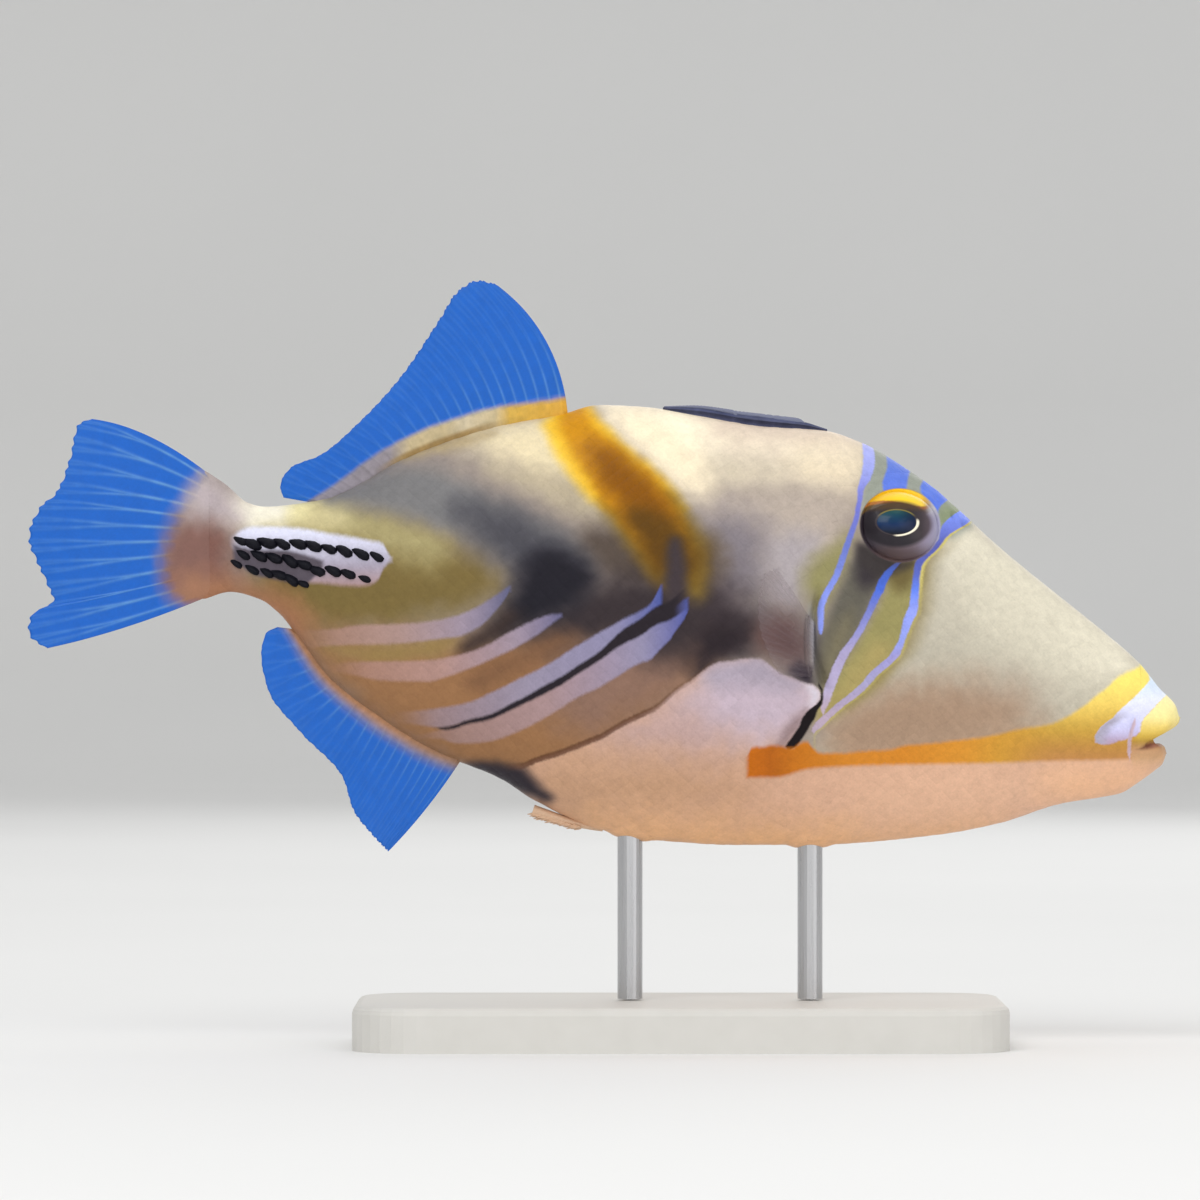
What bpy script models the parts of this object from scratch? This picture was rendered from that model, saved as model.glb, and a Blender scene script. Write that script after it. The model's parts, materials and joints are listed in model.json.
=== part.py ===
"""A picasso triggerfish as a still, life-size museum model on a plain display stand.

Blender 4.5, metres, +Z up. The nose points along +X, the back along +Z and the fish's left side
along +Y. The origin is the centre of the stand's underside. Lengths below are in millimetres, and
become metres where a mesh is made. Stations are x positions along the fish.
"""

import math

import bmesh
import bpy
import numpy as np
from mathutils import Vector

MM = 0.001
GAP = 0.3

# Body outline, seen from the side: (x, z)
BACK_LINE = (
    (-95, 115.0), (-91, 112.4), (-86, 108.4), (-83, 107.8), (-71, 109.4), (-66, 111.4),
    (-56, 117.0), (-46, 121.0), (-36, 124.0), (-24, 126.2), (-16, 128.1), (-8, 127.8),
    (4, 126.0), (16, 124.0), (29, 123.0), (36, 120.7), (44, 116.2), (52, 110.4),
    (64, 99.6), (84, 83.4),
)
BELLY_LINE = (
    (-95, 89.1), (-90, 90.5), (-84, 89.0), (-80, 86.0), (-76, 80.8), (-70, 73.0),
    (-62.8, 67.2), (-49.6, 58.8), (-36, 53.2), (-29.4, 49.0), (-16, 43.0), (-4, 40.8),
    (12, 39.9), (28, 40.0), (52, 42.0), (64, 44.3), (76.4, 48.2), (84, 49.4),
)
# Half of the body's width, seen from above: (x, half width)
HALF_WIDTH = (
    (-95, 1.3), (-90, 2.8), (-86, 3.8), (-76, 5.4), (-66, 7.6), (-56, 9.8), (-36, 13.2),
    (-16, 15.4), (4, 16.4), (20, 16.6), (34, 15.8), (44, 14.8), (64, 11.6), (76, 9.5), (84, 8.2),
)
WIDEST = 0.52
UPPER_ROUNDNESS = 2.15
LOWER_ROUNDNESS = 1.85

# Snout, from the last upright section to the lips
SNOUT_START = 84.0
SNOUT_TOP = ((84, 83.4), (92, 76.4), (96, 71.4), (99.2, 68.0), (100.2, 65.4))
SNOUT_BOTTOM = ((84, 49.4), (88, 50.2), (92, 52.6), (95, 54.8), (96.6, 56.2), (97.4, 58.4))
SNOUT_BLUNTNESS = 2.4
LIP_REACH = 3.0
# Shares of the snout's length where the skin folds in behind the lips, and where the lips swell
LIP_CREASE = (0.385, 0.05, -0.05)
LIP_SWELL = (0.84, 0.12, 0.11)
# How far the mouth line lies behind the lips, from the upper lip (0) down to the lower (1)
LIP_PROFILE = (
    (0, 0), (0.12, 0.12), (0.3, -0.56), (0.49, -1.84), (0.64, -3.6), (0.72, -2.4), (0.85, -0.84),
    (1, 0),
)

# Cuts between the nodes of the body
JAW_CUT = 90.8
MOUTH_CORNER = (92.6, 59.8)
MOUTH_RISE = math.radians(24.4)
GILL_TOP = (27.2, 90.6)
GILL_BOTTOM = (28.8, 71.2)
TAIL_CUT = -59.5
GILL_SLIT_WIDTH = 1.7
GILL_SLIT_DEPTH = 2.2

# Eyes, each a low dome that leans up with the cheek
EYE_AT = (43.6, 103.8)
EYE_RADII = (8.1, 7.4, 5.0)
EYE_SUNK = 1.5
RIM_THICKNESS = 0.8

NOSTRILS = ((54.4, 105.8), (56.8, 104.0))
NOSTRIL_RADIUS = 0.55

# Median fins: the front ray, then the free margin back to the last ray
DORSAL_ROOT = (-22.4, -72.0)
DORSAL_MARGIN = (
    (-36.6, 152.2), (-40.4, 153.0), (-44.5, 150.8), (-48, 145.4), (-56, 133.6), (-64, 124.8),
    (-72, 118.0), (-78, 115.4), (-80, 111.8), (-79.4, 109.5),
)
DORSAL_BOW = 3.3
ANAL_ROOT = (-43.6, -77.0)
ANAL_MARGIN = (
    (-58.4, 38.6), (-61.6, 42.0), (-65.4, 47.0), (-67.4, 53.2), (-76, 62.6), (-82.4, 71.0),
    (-83.8, 78.0), (-82.8, 82.4), (-80.6, 83.6),
)
ANAL_BOW = 0.6
CAUDAL_ROOT_X = -95.3
CAUDAL_MARGIN = (
    (-118, 125.4), (-120.6, 124.0), (-122, 118.0), (-124.8, 110.6), (-128.2, 107.4),
    (-130.4, 101.6), (-127.6, 94.0), (-125.6, 89.0), (-130, 85.8), (-130.6, 82.6), (-127, 79.2),
)
CAUDAL_BOW = (2.1, -0.9)

DORSAL_RAYS = 24
ANAL_RAYS = 22
CAUDAL_RAYS = 12
PECTORAL_RAYS = 14
RAY_HEIGHT = 0.22
FIN_HALF = 0.3
SHEATH_HALF = 1.3

PECTORAL_BASE = ((25.9, 84.6), (25.9, 73.6))
PECTORAL_LENGTHS = ((0, 14.5), (0.25, 18.5), (0.6, 16.0), (1, 9.0))
PECTORAL_RISE = (math.radians(48), math.radians(4))
PECTORAL_FLARE = math.radians(51)

# Rows of small spines on the tail stalk: the row's line and how many it holds
SPINE_ROWS = (
    (((-88.2, 100.8), (-73.2, 99.7), (-61.0, 97.4)), 10),
    (((-87.2, 98.0), (-75.4, 95.9), (-62.7, 93.3)), 10),
    (((-88.7, 96.0), (-82.6, 94.2), (-74.9, 91.9)), 6),
)
SPINE_LENGTH = 2.2
SPINE_HEIGHT = 0.9

# Folded first dorsal fin, in its groove on the back
FOLDED_TOP = (
    (-3.4, 127.9), (2, 127.9), (12, 126.6), (20, 125.6), (25, 124.9), (29.4, 123.5),
)
FOLDED_HALF_WIDTH = 1.7

# Pelvic scute, a small flap under the belly
SCUTE_X = (-16.0, -29.4)
SCUTE_DROP = ((-29.4, 2.9), (-26, 2.2), (-19, 0.9), (-16, 0.5))

BASE_SIZE = (130.0, 64.0, 9.0)
BASE_CORNER = 13.0
BASE_EDGE = 1.6
ROD_RADIUS = 2.5
ROD_X = {"stand_rod_front": 26.0, "stand_rod_rear": -10.0}

SKIN_CREAM = (0.72, 0.66, 0.52)
SKIN_GREY = (0.42, 0.40, 0.36)
SKIN_YELLOW = (0.85, 0.55, 0.08)
FIN_BLUE = (0.45, 0.62, 0.80)
EYE_DARK = (0.06, 0.06, 0.08)
SPINE_DARK = (0.08, 0.08, 0.10)
STAND_WHITE = (0.80, 0.79, 0.76)
ROD_METAL = (0.62, 0.62, 0.63)


def curve_through(knots):
    """A smooth function through the knots, which rises and falls only where they do."""
    at = np.array([k[0] for k in knots], float)
    value = np.array([k[1] for k in knots], float)
    step = np.diff(at)
    slope = np.diff(value) / step
    tangent = np.zeros(len(at))
    for i in range(1, len(at) - 1):
        if slope[i - 1] * slope[i] > 0:
            before = 2 * step[i] + step[i - 1]
            after = step[i] + 2 * step[i - 1]
            tangent[i] = (before + after) / (before / slope[i - 1] + after / slope[i])
    tangent[0] = slope[0]
    tangent[-1] = slope[-1]

    def evaluate(x):
        x = np.clip(np.asarray(x, float), at[0], at[-1])
        i = np.clip(np.searchsorted(at, x, side="right") - 1, 0, len(step) - 1)
        t = (x - at[i]) / step[i]
        rise = value[i] * (1 + 2 * t) * (1 - t) ** 2 + value[i + 1] * t * t * (3 - 2 * t)
        bend = tangent[i] * t * (1 - t) ** 2 - tangent[i + 1] * t * t * (1 - t)
        return rise + bend * step[i]

    return evaluate


def path_through(points):
    """A smooth path through (x, z) points, as a function of the share of its length from 0 to 1."""
    points = np.array(points, float)
    run = np.concatenate([[0], np.cumsum(np.hypot(*np.diff(points, axis=0).T))])
    run = run / run[-1]
    x = curve_through(list(zip(run, points[:, 0])))
    z = curve_through(list(zip(run, points[:, 1])))
    return lambda t: (x(t), z(t))


back_z = curve_through(BACK_LINE)
belly_z = curve_through(BELLY_LINE)
half_width = curve_through(HALF_WIDTH)
snout_top = path_through(SNOUT_TOP)
snout_bottom = path_through(SNOUT_BOTTOM)
lip_depth = curve_through(LIP_PROFILE)


def side_y(x, z):
    """How far the skin lies from the middle plane at a point of the side view."""
    top = back_z(x)
    share = (top - z) / (top - belly_z(x))
    if share < WIDEST:
        rest = abs(WIDEST - share) / WIDEST
        power = UPPER_ROUNDNESS
    else:
        rest = (share - WIDEST) / (1 - WIDEST)
        power = LOWER_ROUNDNESS
    return float(half_width(x)) * max(0.0, 1 - rest**power) ** (1 / power)


def skin_z(x, y, belly=False):
    """The height of the back, or of the belly, at a point of the view from above."""
    top = float(back_z(x))
    depth = top - float(belly_z(x))
    power = LOWER_ROUNDNESS if belly else UPPER_ROUNDNESS
    rest = max(0.0, 1 - (abs(y) / float(half_width(x))) ** power) ** (1 / power)
    share = WIDEST + (1 - WIDEST) * rest if belly else WIDEST * (1 - rest)
    return top - share * depth


def side_normal(x, z):
    """The skin's outward direction on the fish's left side."""
    step = 0.2
    along_x = (side_y(x + step, z) - side_y(x - step, z)) / (2 * step)
    along_z = (side_y(x, z + step) - side_y(x, z - step)) / (2 * step)
    return Vector((-along_x, 1.0, -along_z)).normalized()


def section_shares(angle):
    """For an angle from the back (0) to the belly (pi): the share of the depth and of the width."""
    upper = angle < math.pi / 2
    power = np.where(upper, UPPER_ROUNDNESS, LOWER_ROUNDNESS)
    reach = np.abs(np.cos(angle)) ** (2 / power)
    down = np.where(upper, WIDEST * (1 - reach), WIDEST + (1 - WIDEST) * reach)
    out = np.clip(np.sin(angle), 0, 1) ** (2 / power)
    return down, out


def section(station, angle):
    """The left half of one cross-section, as x, y and z for each angle."""
    down, out = section_shares(angle)
    if station <= SNOUT_START:
        top = float(back_z(station))
        bottom = float(belly_z(station))
        x = np.full(len(angle), station)
        return x, out * float(half_width(station)), top + (bottom - top) * down
    share = station - SNOUT_START
    top_x, top_z = snout_top(share)
    bottom_x, bottom_z = snout_bottom(share)
    x = top_x + (bottom_x - top_x) * down + lip_depth(down) * share**LIP_REACH
    z = top_z + (bottom_z - top_z) * down
    width = float(half_width(SNOUT_START)) * math.sqrt(max(0.0, 1 - share**SNOUT_BLUNTNESS))
    for place, spread, swell in (LIP_CREASE, LIP_SWELL):
        width *= 1 + swell * math.exp(-(((share - place) / spread) ** 2))
    return x, out * width, z


def material(name, colour, roughness, metallic=0.0):
    made = bpy.data.materials.new(name)
    made.use_nodes = True
    shader = made.node_tree.nodes["Principled BSDF"]
    shader.inputs["Base Color"].default_value = (*colour, 1.0)
    shader.inputs["Roughness"].default_value = roughness
    shader.inputs["Metallic"].default_value = metallic
    made.diffuse_color = (*colour, 1.0)
    return made


def add_object(name, mesh, look=None):
    made = bpy.data.objects.new(name, mesh)
    bpy.context.scene.collection.objects.link(made)
    if look is not None:
        mesh.materials.clear()
        mesh.materials.append(look)
    return made


def mesh_from(name, points, faces):
    """A mesh from points in millimetres, with its faces turned outwards."""
    mesh = bpy.data.meshes.new(name)
    mesh.from_pydata([Vector(p) * MM for p in points], [], faces)
    turned = bmesh.new()
    turned.from_mesh(mesh)
    bmesh.ops.recalc_face_normals(turned, faces=turned.faces)
    turned.to_mesh(mesh)
    turned.free()
    return mesh


def largest_surface(mesh):
    """Drops all but the largest closed surface of the mesh."""
    work = bmesh.new()
    work.from_mesh(mesh)
    bmesh.ops.triangulate(work, faces=work.faces)
    left = set(work.faces)
    groups = []
    while left:
        seed = left.pop()
        group = [seed]
        for face in group:
            for edge in face.edges:
                for other in edge.link_faces:
                    if other in left:
                        left.discard(other)
                        group.append(other)
        volume = 0.0
        for face in group:
            a, b, c = (loop.vert.co for loop in face.loops)
            volume += a.dot(b.cross(c)) / 6
        groups.append((abs(volume), group))
    groups.sort(key=lambda pair: pair[0])
    scraps = [face for _, group in groups[:-1] for face in group]
    bmesh.ops.delete(work, geom=scraps, context="FACES")
    work.to_mesh(mesh)
    work.free()


def combine(target, pieces, operation, solver="EXACT"):
    """One applied Boolean of the pieces on the target. The pieces are removed after it."""
    group = bpy.data.collections.new(target.name + "_pieces")
    bpy.context.scene.collection.children.link(group)
    for piece in pieces:
        bpy.context.scene.collection.objects.unlink(piece)
        group.objects.link(piece)
    step = target.modifiers.new("combine", "BOOLEAN")
    step.operation = operation
    step.operand_type = "COLLECTION"
    step.collection = group
    step.solver = solver
    bpy.context.view_layer.update()
    graph = bpy.context.evaluated_depsgraph_get()
    result = bpy.data.meshes.new_from_object(target.evaluated_get(graph))
    target.modifiers.remove(step)
    looks = [slot.material for slot in target.material_slots]
    target.data = result
    for piece in list(group.objects):
        bpy.data.objects.remove(piece)
    bpy.data.collections.remove(group)
    largest_surface(result)
    result.materials.clear()
    for look in looks[:1]:
        result.materials.append(look)


def spaced(start, end, count, ease=0.0):
    """Even steps from start to end, closer together near the end as ease goes to 1."""
    t = np.linspace(0, 1, count)
    return start + (end - start) * ((1 - ease) * t + ease * np.sin(t * math.pi / 2))


def body_mesh(tail_steps=15, length_steps=32, snout_steps=13, side_steps=20):
    """The whole fish without its fins, as one closed mesh."""
    angle = np.linspace(0, math.pi, side_steps + 1)
    stations = list(spaced(BACK_LINE[0][0], TAIL_CUT, tail_steps))[:-1]
    stations += list(spaced(TAIL_CUT, SNOUT_START, length_steps))
    stations += [SNOUT_START + q for q in spaced(0, 1, snout_steps, ease=0.45)[1:]]
    points = []
    rings = []
    for station in stations:
        x, y, z = section(station, angle)
        left = []
        for i in range(len(angle)):
            left.append(len(points))
            points.append((x[i], y[i], z[i]))
        right = [left[0]]
        shut = station == stations[-1]
        for i in range(1, len(angle) - 1):
            if shut:
                right.append(left[i])
                continue
            right.append(len(points))
            points.append((x[i], -y[i], z[i]))
        right.append(left[-1])
        rings.append((left, right))
    faces = []
    for (left, right), (next_left, next_right) in zip(rings, rings[1:]):
        for i in range(side_steps):
            for near, far in ((left, next_left), (right, next_right)):
                a, b, c, d = near[i], near[i + 1], far[i + 1], far[i]
                above = 2 * i < 1.2 * side_steps
                faces += ((a, b, d), (b, c, d)) if above else ((a, b, c), (a, c, d))
    left, right = rings[0]
    faces.append(left[::-1] + right[1:-1])
    return mesh_from("body", points, faces)


def part_between(name, source, planes, look):
    """A copy of the source mesh kept on the inner side of each plane, with its cuts closed."""
    work = bmesh.new()
    work.from_mesh(source)
    for point, outward in planes:
        cut = bmesh.ops.bisect_plane(
            work,
            geom=work.verts[:] + work.edges[:] + work.faces[:],
            plane_co=Vector(point) * MM,
            plane_no=Vector(outward),
            clear_outer=True,
        )
        rim = [item for item in cut["geom_cut"] if isinstance(item, bmesh.types.BMEdge)]
        bmesh.ops.contextual_create(work, geom=rim)
    bmesh.ops.recalc_face_normals(work, faces=work.faces)
    bmesh.ops.triangulate(work, faces=work.faces)
    mesh = bpy.data.meshes.new(name)
    work.to_mesh(mesh)
    work.free()
    return add_object(name, mesh, look)


def gill_cutter(side):
    """A thin crescent wedge along the gill opening."""
    points = []
    steps = 9
    for i in range(steps):
        t = i / (steps - 1)
        x = GILL_TOP[0] + (GILL_BOTTOM[0] - GILL_TOP[0]) * t * t
        z = GILL_TOP[1] + (GILL_BOTTOM[1] - GILL_TOP[1]) * t
        fade = 0.25 + 0.75 * math.sin(math.pi * t)
        reach = side_y(x, z)
        outer = (reach + 2.0) * side
        inner = (reach - GILL_SLIT_DEPTH * fade) * side
        half = GILL_SLIT_WIDTH / 2 * fade
        points += [(x - half * 1.5, outer, z), (x + half * 1.5, outer, z)]
        points += [(x + half * 0.5, inner, z), (x - half * 0.5, inner, z)]
    faces = [(0, 1, 2, 3), tuple(4 * (steps - 1) + k for k in (3, 2, 1, 0))]
    for i in range(steps - 1):
        for k in range(4):
            a = 4 * i + k
            b = 4 * i + (k + 1) % 4
            faces.append((a, b, b + 4, a + 4))
    return add_object(f"gill_cutter_{side}", mesh_from("gill_cutter", points, faces))


def eye_frame(side):
    """The eye's centre on the skin and its forward, upward and outward directions."""
    x, z = EYE_AT
    outward = side_normal(x, z)
    surface = Vector((x, side_y(x, z), z))
    forward = Vector((1, 0, 0)) - outward * outward.x
    forward.normalize()
    upward = outward.cross(forward).normalized()
    if upward.z < 0:
        upward = -upward
    flip = Vector((1, side, 1))
    return tuple(Vector(v * f for v, f in zip(vec, flip)) for vec in (surface, forward, upward, outward))


def ellipsoid(name, side, extra, around=22, rings=13, look=None):
    """The eye's dome, or with extra size its socket."""
    surface, forward, upward, outward = eye_frame(side)
    centre = surface - outward * EYE_SUNK
    wide, tall, deep = (radius + extra for radius in EYE_RADII)
    points = [tuple(centre + outward * deep)]
    for i in range(1, rings):
        tilt = math.pi * i / rings
        for k in range(around):
            turn = 2 * math.pi * k / around
            offset = forward * (wide * math.sin(tilt) * math.cos(turn))
            offset += upward * (tall * math.sin(tilt) * math.sin(turn))
            offset += outward * (deep * math.cos(tilt))
            points.append(tuple(centre + offset))
    points.append(tuple(centre - outward * deep))
    faces = []
    last = len(points) - 1
    for k in range(around):
        n = (k + 1) % around
        faces.append((0, 1 + k, 1 + n))
        faces.append((last, last - around + n, last - around + k))
        for i in range(rings - 2):
            a = 1 + i * around
            faces.append((a + k, a + around + k, a + around + n, a + n))
    return add_object(name, mesh_from(name, points, faces), look)


def orbital_rim(side, around=26, tube_sides=6):
    """A low ring of skin round the eye, which follows the cheek."""
    points = []
    for k in range(around):
        turn = 2 * math.pi * k / around
        x = EYE_AT[0] + (EYE_RADII[0] + 0.5) * math.cos(turn)
        z = EYE_AT[1] + (EYE_RADII[1] + 0.3) * math.sin(turn)
        normal = side_normal(x, z)
        centre = Vector((x, side_y(x, z), z)) - normal * (RIM_THICKNESS * 0.45)
        radial = Vector((math.cos(turn), 0, math.sin(turn)))
        radial = (radial - normal * radial.dot(normal)).normalized()
        for j in range(tube_sides):
            bend = 2 * math.pi * j / tube_sides
            offset = radial * math.cos(bend) + normal * math.sin(bend)
            point = centre + offset * RIM_THICKNESS
            points.append((point.x, point.y * side, point.z))
    faces = []
    for k in range(around):
        for j in range(tube_sides):
            a = k * tube_sides + j
            b = k * tube_sides + (j + 1) % tube_sides
            c = ((k + 1) % around) * tube_sides + (j + 1) % tube_sides
            d = ((k + 1) % around) * tube_sides + j
            faces.append((a, b, c, d))
    return add_object(f"rim_{side}", mesh_from("rim", points, faces))


def cone(name, root, tip, profile, sides=6, flat=1.0, side_axis=Vector((0, 1, 0))):
    """A closed spike from root to tip, with a radius at each share of its length.

    Flat below 1 makes it narrow along side_axis.
    """
    root = Vector(root)
    tip = Vector(tip)
    along = (tip - root).normalized()
    across = (side_axis - along * side_axis.dot(along)).normalized()
    third = along.cross(across)
    points = []
    for share, size in profile:
        for k in range(sides):
            turn = 2 * math.pi * k / sides
            offset = across * (flat * math.cos(turn)) + third * math.sin(turn)
            points.append(tuple(root + (tip - root) * share + offset * size))
    last = sides * (len(profile) - 1)
    faces = [tuple(range(sides)), tuple(range(last + sides - 1, last - 1, -1))]
    for start in range(0, last, sides):
        for k in range(sides):
            n = (k + 1) % sides
            faces.append((start + k, start + n, start + sides + n, start + sides + k))
    return add_object(name, mesh_from(name, points, faces))


def nostril_cutters(side):
    pits = []
    for i, (x, z) in enumerate(NOSTRILS):
        normal = side_normal(x, z)
        surface = Vector((x, side_y(x, z), z))
        inner = surface - normal * 0.9
        outer = surface + normal * 0.9
        ends = [(p.x, p.y * side, p.z) for p in (outer, inner)]
        profile = ((0, NOSTRIL_RADIUS * 1.3), (1, NOSTRIL_RADIUS * 0.6))
        pits.append(cone(f"nostril_{i}_{side}", *ends, profile))
    return pits


def build_head(body, look):
    gill = gill_plane()
    head = part_between(
        "head", body, (moved(gill, GAP / 2, inwards=False), ((JAW_CUT - GAP / 2, 0, 0), (1, 0, 0))), look
    )
    combine(head, [orbital_rim(1), orbital_rim(-1)], "UNION")
    cutters = [ellipsoid(f"socket_{side}", side, GAP, around=24, rings=14) for side in (1, -1)]
    for side in (1, -1):
        cutters += nostril_cutters(side)
    combine(head, cutters, "DIFFERENCE")
    return head


def gill_plane():
    """A point of the cut along the gill opening, and its direction towards the nose."""
    run = Vector((GILL_BOTTOM[0] - GILL_TOP[0], 0, GILL_BOTTOM[1] - GILL_TOP[1])).normalized()
    return Vector((GILL_TOP[0], 0, GILL_TOP[1])), Vector((-run.z, 0, run.x))


def moved(plane, distance, inwards):
    """The plane shifted along its own direction, facing back when the part lies ahead of it."""
    point, forward = plane
    if inwards:
        return point - forward * distance, forward
    return point + forward * distance, -forward


def build_jaws(body, look):
    front = ((JAW_CUT + GAP / 2, 0, 0), (-1, 0, 0))
    up = Vector((-math.sin(MOUTH_RISE), 0, math.cos(MOUTH_RISE)))
    corner = Vector((MOUTH_CORNER[0], 0, MOUTH_CORNER[1]))
    part_between("jaw_upper", body, (front, (corner + up * GAP / 2, -up)), look)
    part_between("jaw_lower", body, (front, (corner - up * GAP / 2, up)), look)


def build_torso(body, look):
    return part_between(
        "torso",
        body,
        (moved(gill_plane(), GAP / 2, inwards=True), ((TAIL_CUT + GAP / 2, 0, 0), (-1, 0, 0))),
        look,
    )


def peduncle_spines():
    """Rows of small forward-curved spines on both sides of the tail stalk."""
    spines = []
    for row, (line, count) in enumerate(SPINE_ROWS):
        place = path_through(line)
        for i in range(count):
            x, z = (float(v) for v in place((i + 0.5) / count))
            x_ahead, z_ahead = (float(v) for v in place(min(1.0, (i + 0.9) / count)))
            size = 1.0 - 0.12 * math.cos(2.1 * i + row)
            for side in (1, -1):
                normal = side_normal(x, z)
                along = Vector((x_ahead - x, 0, z_ahead - z)).normalized()
                root = Vector((x, side_y(x, z), z)) - normal * 0.8 - along * SPINE_LENGTH * 0.3
                tip = Vector((x, side_y(x, z), z)) + normal * SPINE_HEIGHT * size
                tip += along * SPINE_LENGTH * 0.6 * size
                ends = [(p.x, p.y * side, p.z) for p in (root, tip)]
                axis = Vector((-along.z, 0, along.x))
                profile = ((0, 0.85), (1, 0.12))
                name = f"spine_{row}_{i}_{side}"
                spines.append(cone(name, *ends, profile, 5, 0.75, side_axis=axis))
    return spines


def build_tail_stalk(body, look):
    stalk = part_between("tail_stalk", body, (((TAIL_CUT - GAP / 2, 0, 0), (1, 0, 0)),), look)
    combine(stalk, peduncle_spines(), "UNION")
    return stalk


def sheet(name, centre, across, half, us, vs, root_point, look):
    """A thin solid on a grid: both faces, with the same diagonals, joined by a border strip.

    centre(u, v) is the middle surface, across(u, v) its direction and half(u, v) half its
    thickness. root_point(point) sets a vertex of the first row on what the fin grows from.
    """
    columns = len(us)
    rows = len(vs)
    points = []
    for sign in (1, -1):
        for u in us:
            for v in vs:
                point = centre(u, v) + across(u, v) * (half(u, v) * sign)
                points.append(root_point(point) if v == vs[0] else point)
    keel = len(points)
    points += [root_point(centre(u, vs[0])) for u in us]

    def at(face, i, j):
        return face * columns * rows + i * rows + j

    faces = []
    for i in range(columns - 1):
        for j in range(rows - 1):
            a, b, c, d = (i, j), (i + 1, j), (i + 1, j + 1), (i, j + 1)
            for corners in ((a, b, c), (a, c, d)):
                faces.append(tuple(at(0, *corner) for corner in corners))
                faces.append(tuple(at(1, *corner) for corner in corners[::-1]))
        last = rows - 1
        faces.append((at(0, i, last), at(0, i + 1, last), at(1, i + 1, last), at(1, i, last)))
        for face in (0, 1):
            faces.append((at(face, i, 0), at(face, i + 1, 0), keel + i + 1, keel + i))
    for i in (0, columns - 1):
        faces.append((at(0, i, 0), keel + i, at(1, i, 0), at(1, i, 1), at(0, i, 1)))
        for j in range(1, rows - 1):
            faces.append((at(0, i, j), at(1, i, j), at(1, i, j + 1), at(0, i, j + 1)))
    return add_object(name, mesh_from(name, [tuple(p) for p in points], faces), look)


def ridge_columns(rays):
    """Positions across a fin: a ridge for each ray and a hollow between neighbours."""
    return np.linspace(0, 1, 2 * rays - 1)


def ray_ridge(rays):
    """How much a ray thickens the fin at u: 1 on the ray, 0 halfway to the next."""
    return lambda u: abs(math.cos(math.pi * u * (rays - 1)))


def median_fin(name, root_x, margin, bow, rays, belly, rows, look):
    """A fin in the middle plane, from a line on the back or belly out to its free margin."""
    edge = path_through(margin)
    ridge = ray_ridge(rays)
    sign = -1 if belly else 1

    def centre(u, v):
        x0 = root_x[0] + (root_x[1] - root_x[0]) * u
        root = Vector((x0, 0, skin_z(x0, 0, belly) + sign * GAP))
        x1, z1 = edge(u**0.94)
        tip = Vector((float(x1), 0, float(z1)))
        run = tip - root
        swell = bow * (1 - u) ** 1.5 * 4 * v * (1 - v)
        return root + run * v + Vector((abs(run.z), 0, sign * abs(run.x))).normalized() * swell

    def half(u, v):
        sheath = (SHEATH_HALF - FIN_HALF) * (1 - 0.5 * u) * max(0.0, 1 - v / 0.14) ** 0.8
        rim = 0.6 + 0.4 * min(1.0, 12 * u, 12 * (1 - u) + 0.3)
        fade = 1 - 0.45 * v**3
        return (FIN_HALF + sheath + RAY_HEIGHT * ridge(u) * (1 - 0.4 * v)) * fade * rim

    def root_point(point):
        return Vector((point.x, point.y, skin_z(point.x, point.y, belly) + sign * GAP))

    return sheet(
        name, centre, lambda u, v: Vector((0, 1, 0)), half, ridge_columns(rays),
        fin_rows(rows), root_point, look,
    )


def fin_rows(rows):
    """Positions from a fin's root to its margin, closer together at the thick root."""
    t = np.linspace(0, 1, rows)
    return t ** 1.35


def caudal_fin(look, rows=9):
    """The tail fin, with rays that fork halfway out."""
    edge = path_through(CAUDAL_MARGIN)
    top = float(back_z(BACK_LINE[0][0])) + 0.4
    bottom = float(belly_z(BELLY_LINE[0][0])) - 0.2
    columns = 4 * CAUDAL_RAYS + 1

    def centre(u, v):
        root = Vector((CAUDAL_ROOT_X, 0, top + (bottom - top) * u))
        x, z = edge(u)
        run = Vector((float(x), 0, float(z))) - root
        bow = (CAUDAL_BOW[0] * (1 - u) ** 2 + CAUDAL_BOW[1] * u * u) * 4 * v * (1 - v)
        return root + run * v + Vector((0, 0, bow))

    def ridge(u, v):
        place = (u * CAUDAL_RAYS) % 1.0
        stem = max(0.0, 1 - abs(place - 0.5) * 4)
        fork = max(0.0, 1 - abs(abs(place - 0.5) - 0.25) * 4)
        parted = min(1.0, max(0.0, (v - 0.35) / 0.2))
        return stem * (1 - parted) + fork * parted

    def half(u, v):
        flesh = (1.25 - FIN_HALF) * max(0.0, 1 - v / 0.42) ** 1.6 * math.sin(math.pi * (0.12 + 0.76 * u))
        rim = 0.65 + 0.35 * min(1.0, 12 * u, 12 * (1 - u))
        return (FIN_HALF + flesh + RAY_HEIGHT * ridge(u, v) * (1 - 0.35 * v)) * (1 - 0.45 * v**3) * rim

    return sheet(
        "fin_caudal", centre, lambda u, v: Vector((0, 1, 0)), half,
        np.linspace(0, 1, columns), fin_rows(rows),
        lambda point: Vector((CAUDAL_ROOT_X, point.y, point.z)), look,
    )


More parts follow.
